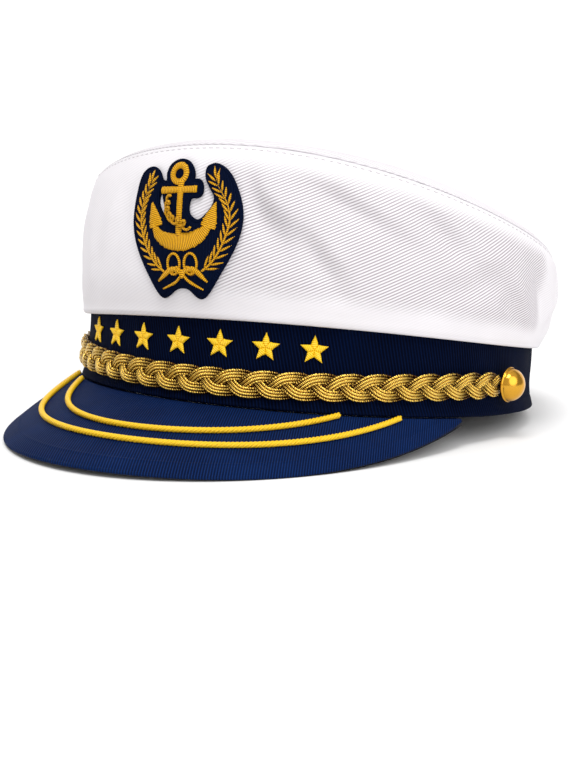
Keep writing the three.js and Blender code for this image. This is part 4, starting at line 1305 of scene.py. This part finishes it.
crown_wall()
crown_panel()
seam_stitches()
head_band()
peak_board()
peak_cord("outer")
peak_cord("inner")
braid()
button(1, "button_left")
button(-1, "button_right")
for number in range(1, STAR_COUNT + 1):
    star(number)
patch_felt()
patch_rim()
anchor()
rope()
branch(1, "emblem_branch_left")
branch(-1, "emblem_branch_right")
bow()


# The studio: floor, backdrop, lights and camera
CAMERA_AZIMUTH = 0.54575
CAMERA_ELEVATION = 0.18482
CAMERA_DISTANCE = 0.7
CAMERA_PITCH = 0.012125
CAMERA_ROLL = 0.024411
CAMERA_LENS_PIXELS = 1632.316
IMAGE_WIDTH = 576
IMAGE_HEIGHT = 768
CAMERA_MIDDLE = (308.977, 387.070)
WORLD_COLOUR = (1.0, 0.985, 0.97, 1)
WORLD_STRENGTH = 0.4

# Lights: name, power, spread, azimuth and elevation in degrees
LIGHTS = (("key", 1.35, 24, 13, 68), ("soft", 0.85, 120, 20, 60), ("fill", 1.3, 60, 64, 30))


def direction(azimuth, elevation):
    """The way from the hat towards a place round it and above the floor, in radians."""
    level = math.cos(elevation)
    return Vector((math.sin(azimuth) * level, -math.cos(azimuth) * level, math.sin(elevation)))


def studio_floor():
    """A pale floor that sweeps up behind the hat."""
    size, sweep = 3.0, 1.2
    profile = [(-size, 0.0), (size * 0.6, 0.0)]
    for swing in np.linspace(0, 90, 25)[1:]:
        turned = math.radians(swing)
        profile.append((size * 0.6 + sweep * math.sin(turned), sweep * (1 - math.cos(turned))))
    profile.append((size * 0.6 + sweep, size))
    points, faces = [], []
    for y, z in profile:
        points += [(-size * 2, y, z), (size * 2, y, z)]
    for k in range(len(profile) - 1):
        faces.append((2 * k, 2 * k + 1, 2 * k + 3, 2 * k + 2))
    mesh = bpy.data.meshes.new("studio_floor")
    mesh.from_pydata(points, [], faces)
    mesh.polygons.foreach_set("use_smooth", [True] * len(faces))
    floor = new_object("studio_floor", mesh)
    floor.rotation_euler.z = CAMERA_AZIMUTH
    material, tree, principled = shader("studio_floor", Roughness=0.9, Specular_IOR_Level=0.1)
    pale = mixed(tree, noise(tree, 3), (0.9, 0.9, 0.9, 1), (0.92, 0.92, 0.92, 1))
    tree.links.new(pale, principled.inputs["Base Color"])
    mesh.materials.append(material)


def far_light(name, power, spread, azimuth, elevation):
    """A wide soft light from far away, from an angle round the hat and above the floor."""
    data = bpy.data.lights.new(name, "SUN")
    data.energy = power
    data.angle = math.radians(spread)
    light = new_object(name, data)
    place = direction(math.radians(azimuth), math.radians(elevation))
    light.rotation_mode = "QUATERNION"
    light.rotation_quaternion = place.to_track_quat("Z", "Y")


def studio_world():
    world = bpy.data.worlds.new("studio")
    world.use_nodes = True
    background = world.node_tree.nodes["Background"]
    background.inputs["Color"].default_value = WORLD_COLOUR
    background.inputs["Strength"].default_value = WORLD_STRENGTH
    bpy.context.scene.world = world


def photo_camera():
    """The camera at the photograph's angle, from its place in the hat's frame."""
    back = direction(CAMERA_AZIMUTH, CAMERA_ELEVATION)
    right = Vector((math.cos(CAMERA_AZIMUTH), math.sin(CAMERA_AZIMUTH), 0))
    pitch = Matrix.Rotation(CAMERA_PITCH, 3, "X")
    back, right = pitch @ back, pitch @ right
    up = back.cross(right)
    c, s = math.cos(CAMERA_ROLL), math.sin(CAMERA_ROLL)
    right, up = right * c + up * s, up * c - right * s
    data = bpy.data.cameras.new("photo_camera")
    data.sensor_width = 36
    data.lens = CAMERA_LENS_PIXELS * data.sensor_width / IMAGE_HEIGHT
    data.shift_x = -(CAMERA_MIDDLE[0] - IMAGE_WIDTH / 2) / IMAGE_HEIGHT
    data.shift_y = (CAMERA_MIDDLE[1] - IMAGE_HEIGHT / 2) / IMAGE_HEIGHT
    camera = new_object("photo_camera", data)
    turned = Matrix((right, up, back)).transposed().to_4x4()
    turned.translation = Vector(HAT_PLACE) + back * CAMERA_DISTANCE
    camera.matrix_world = turned
    bpy.context.scene.camera = camera


studio_floor()
studio_world()
for light in LIGHTS:
    far_light(*light)
photo_camera()
bpy.context.scene.view_settings.view_transform = "Standard"
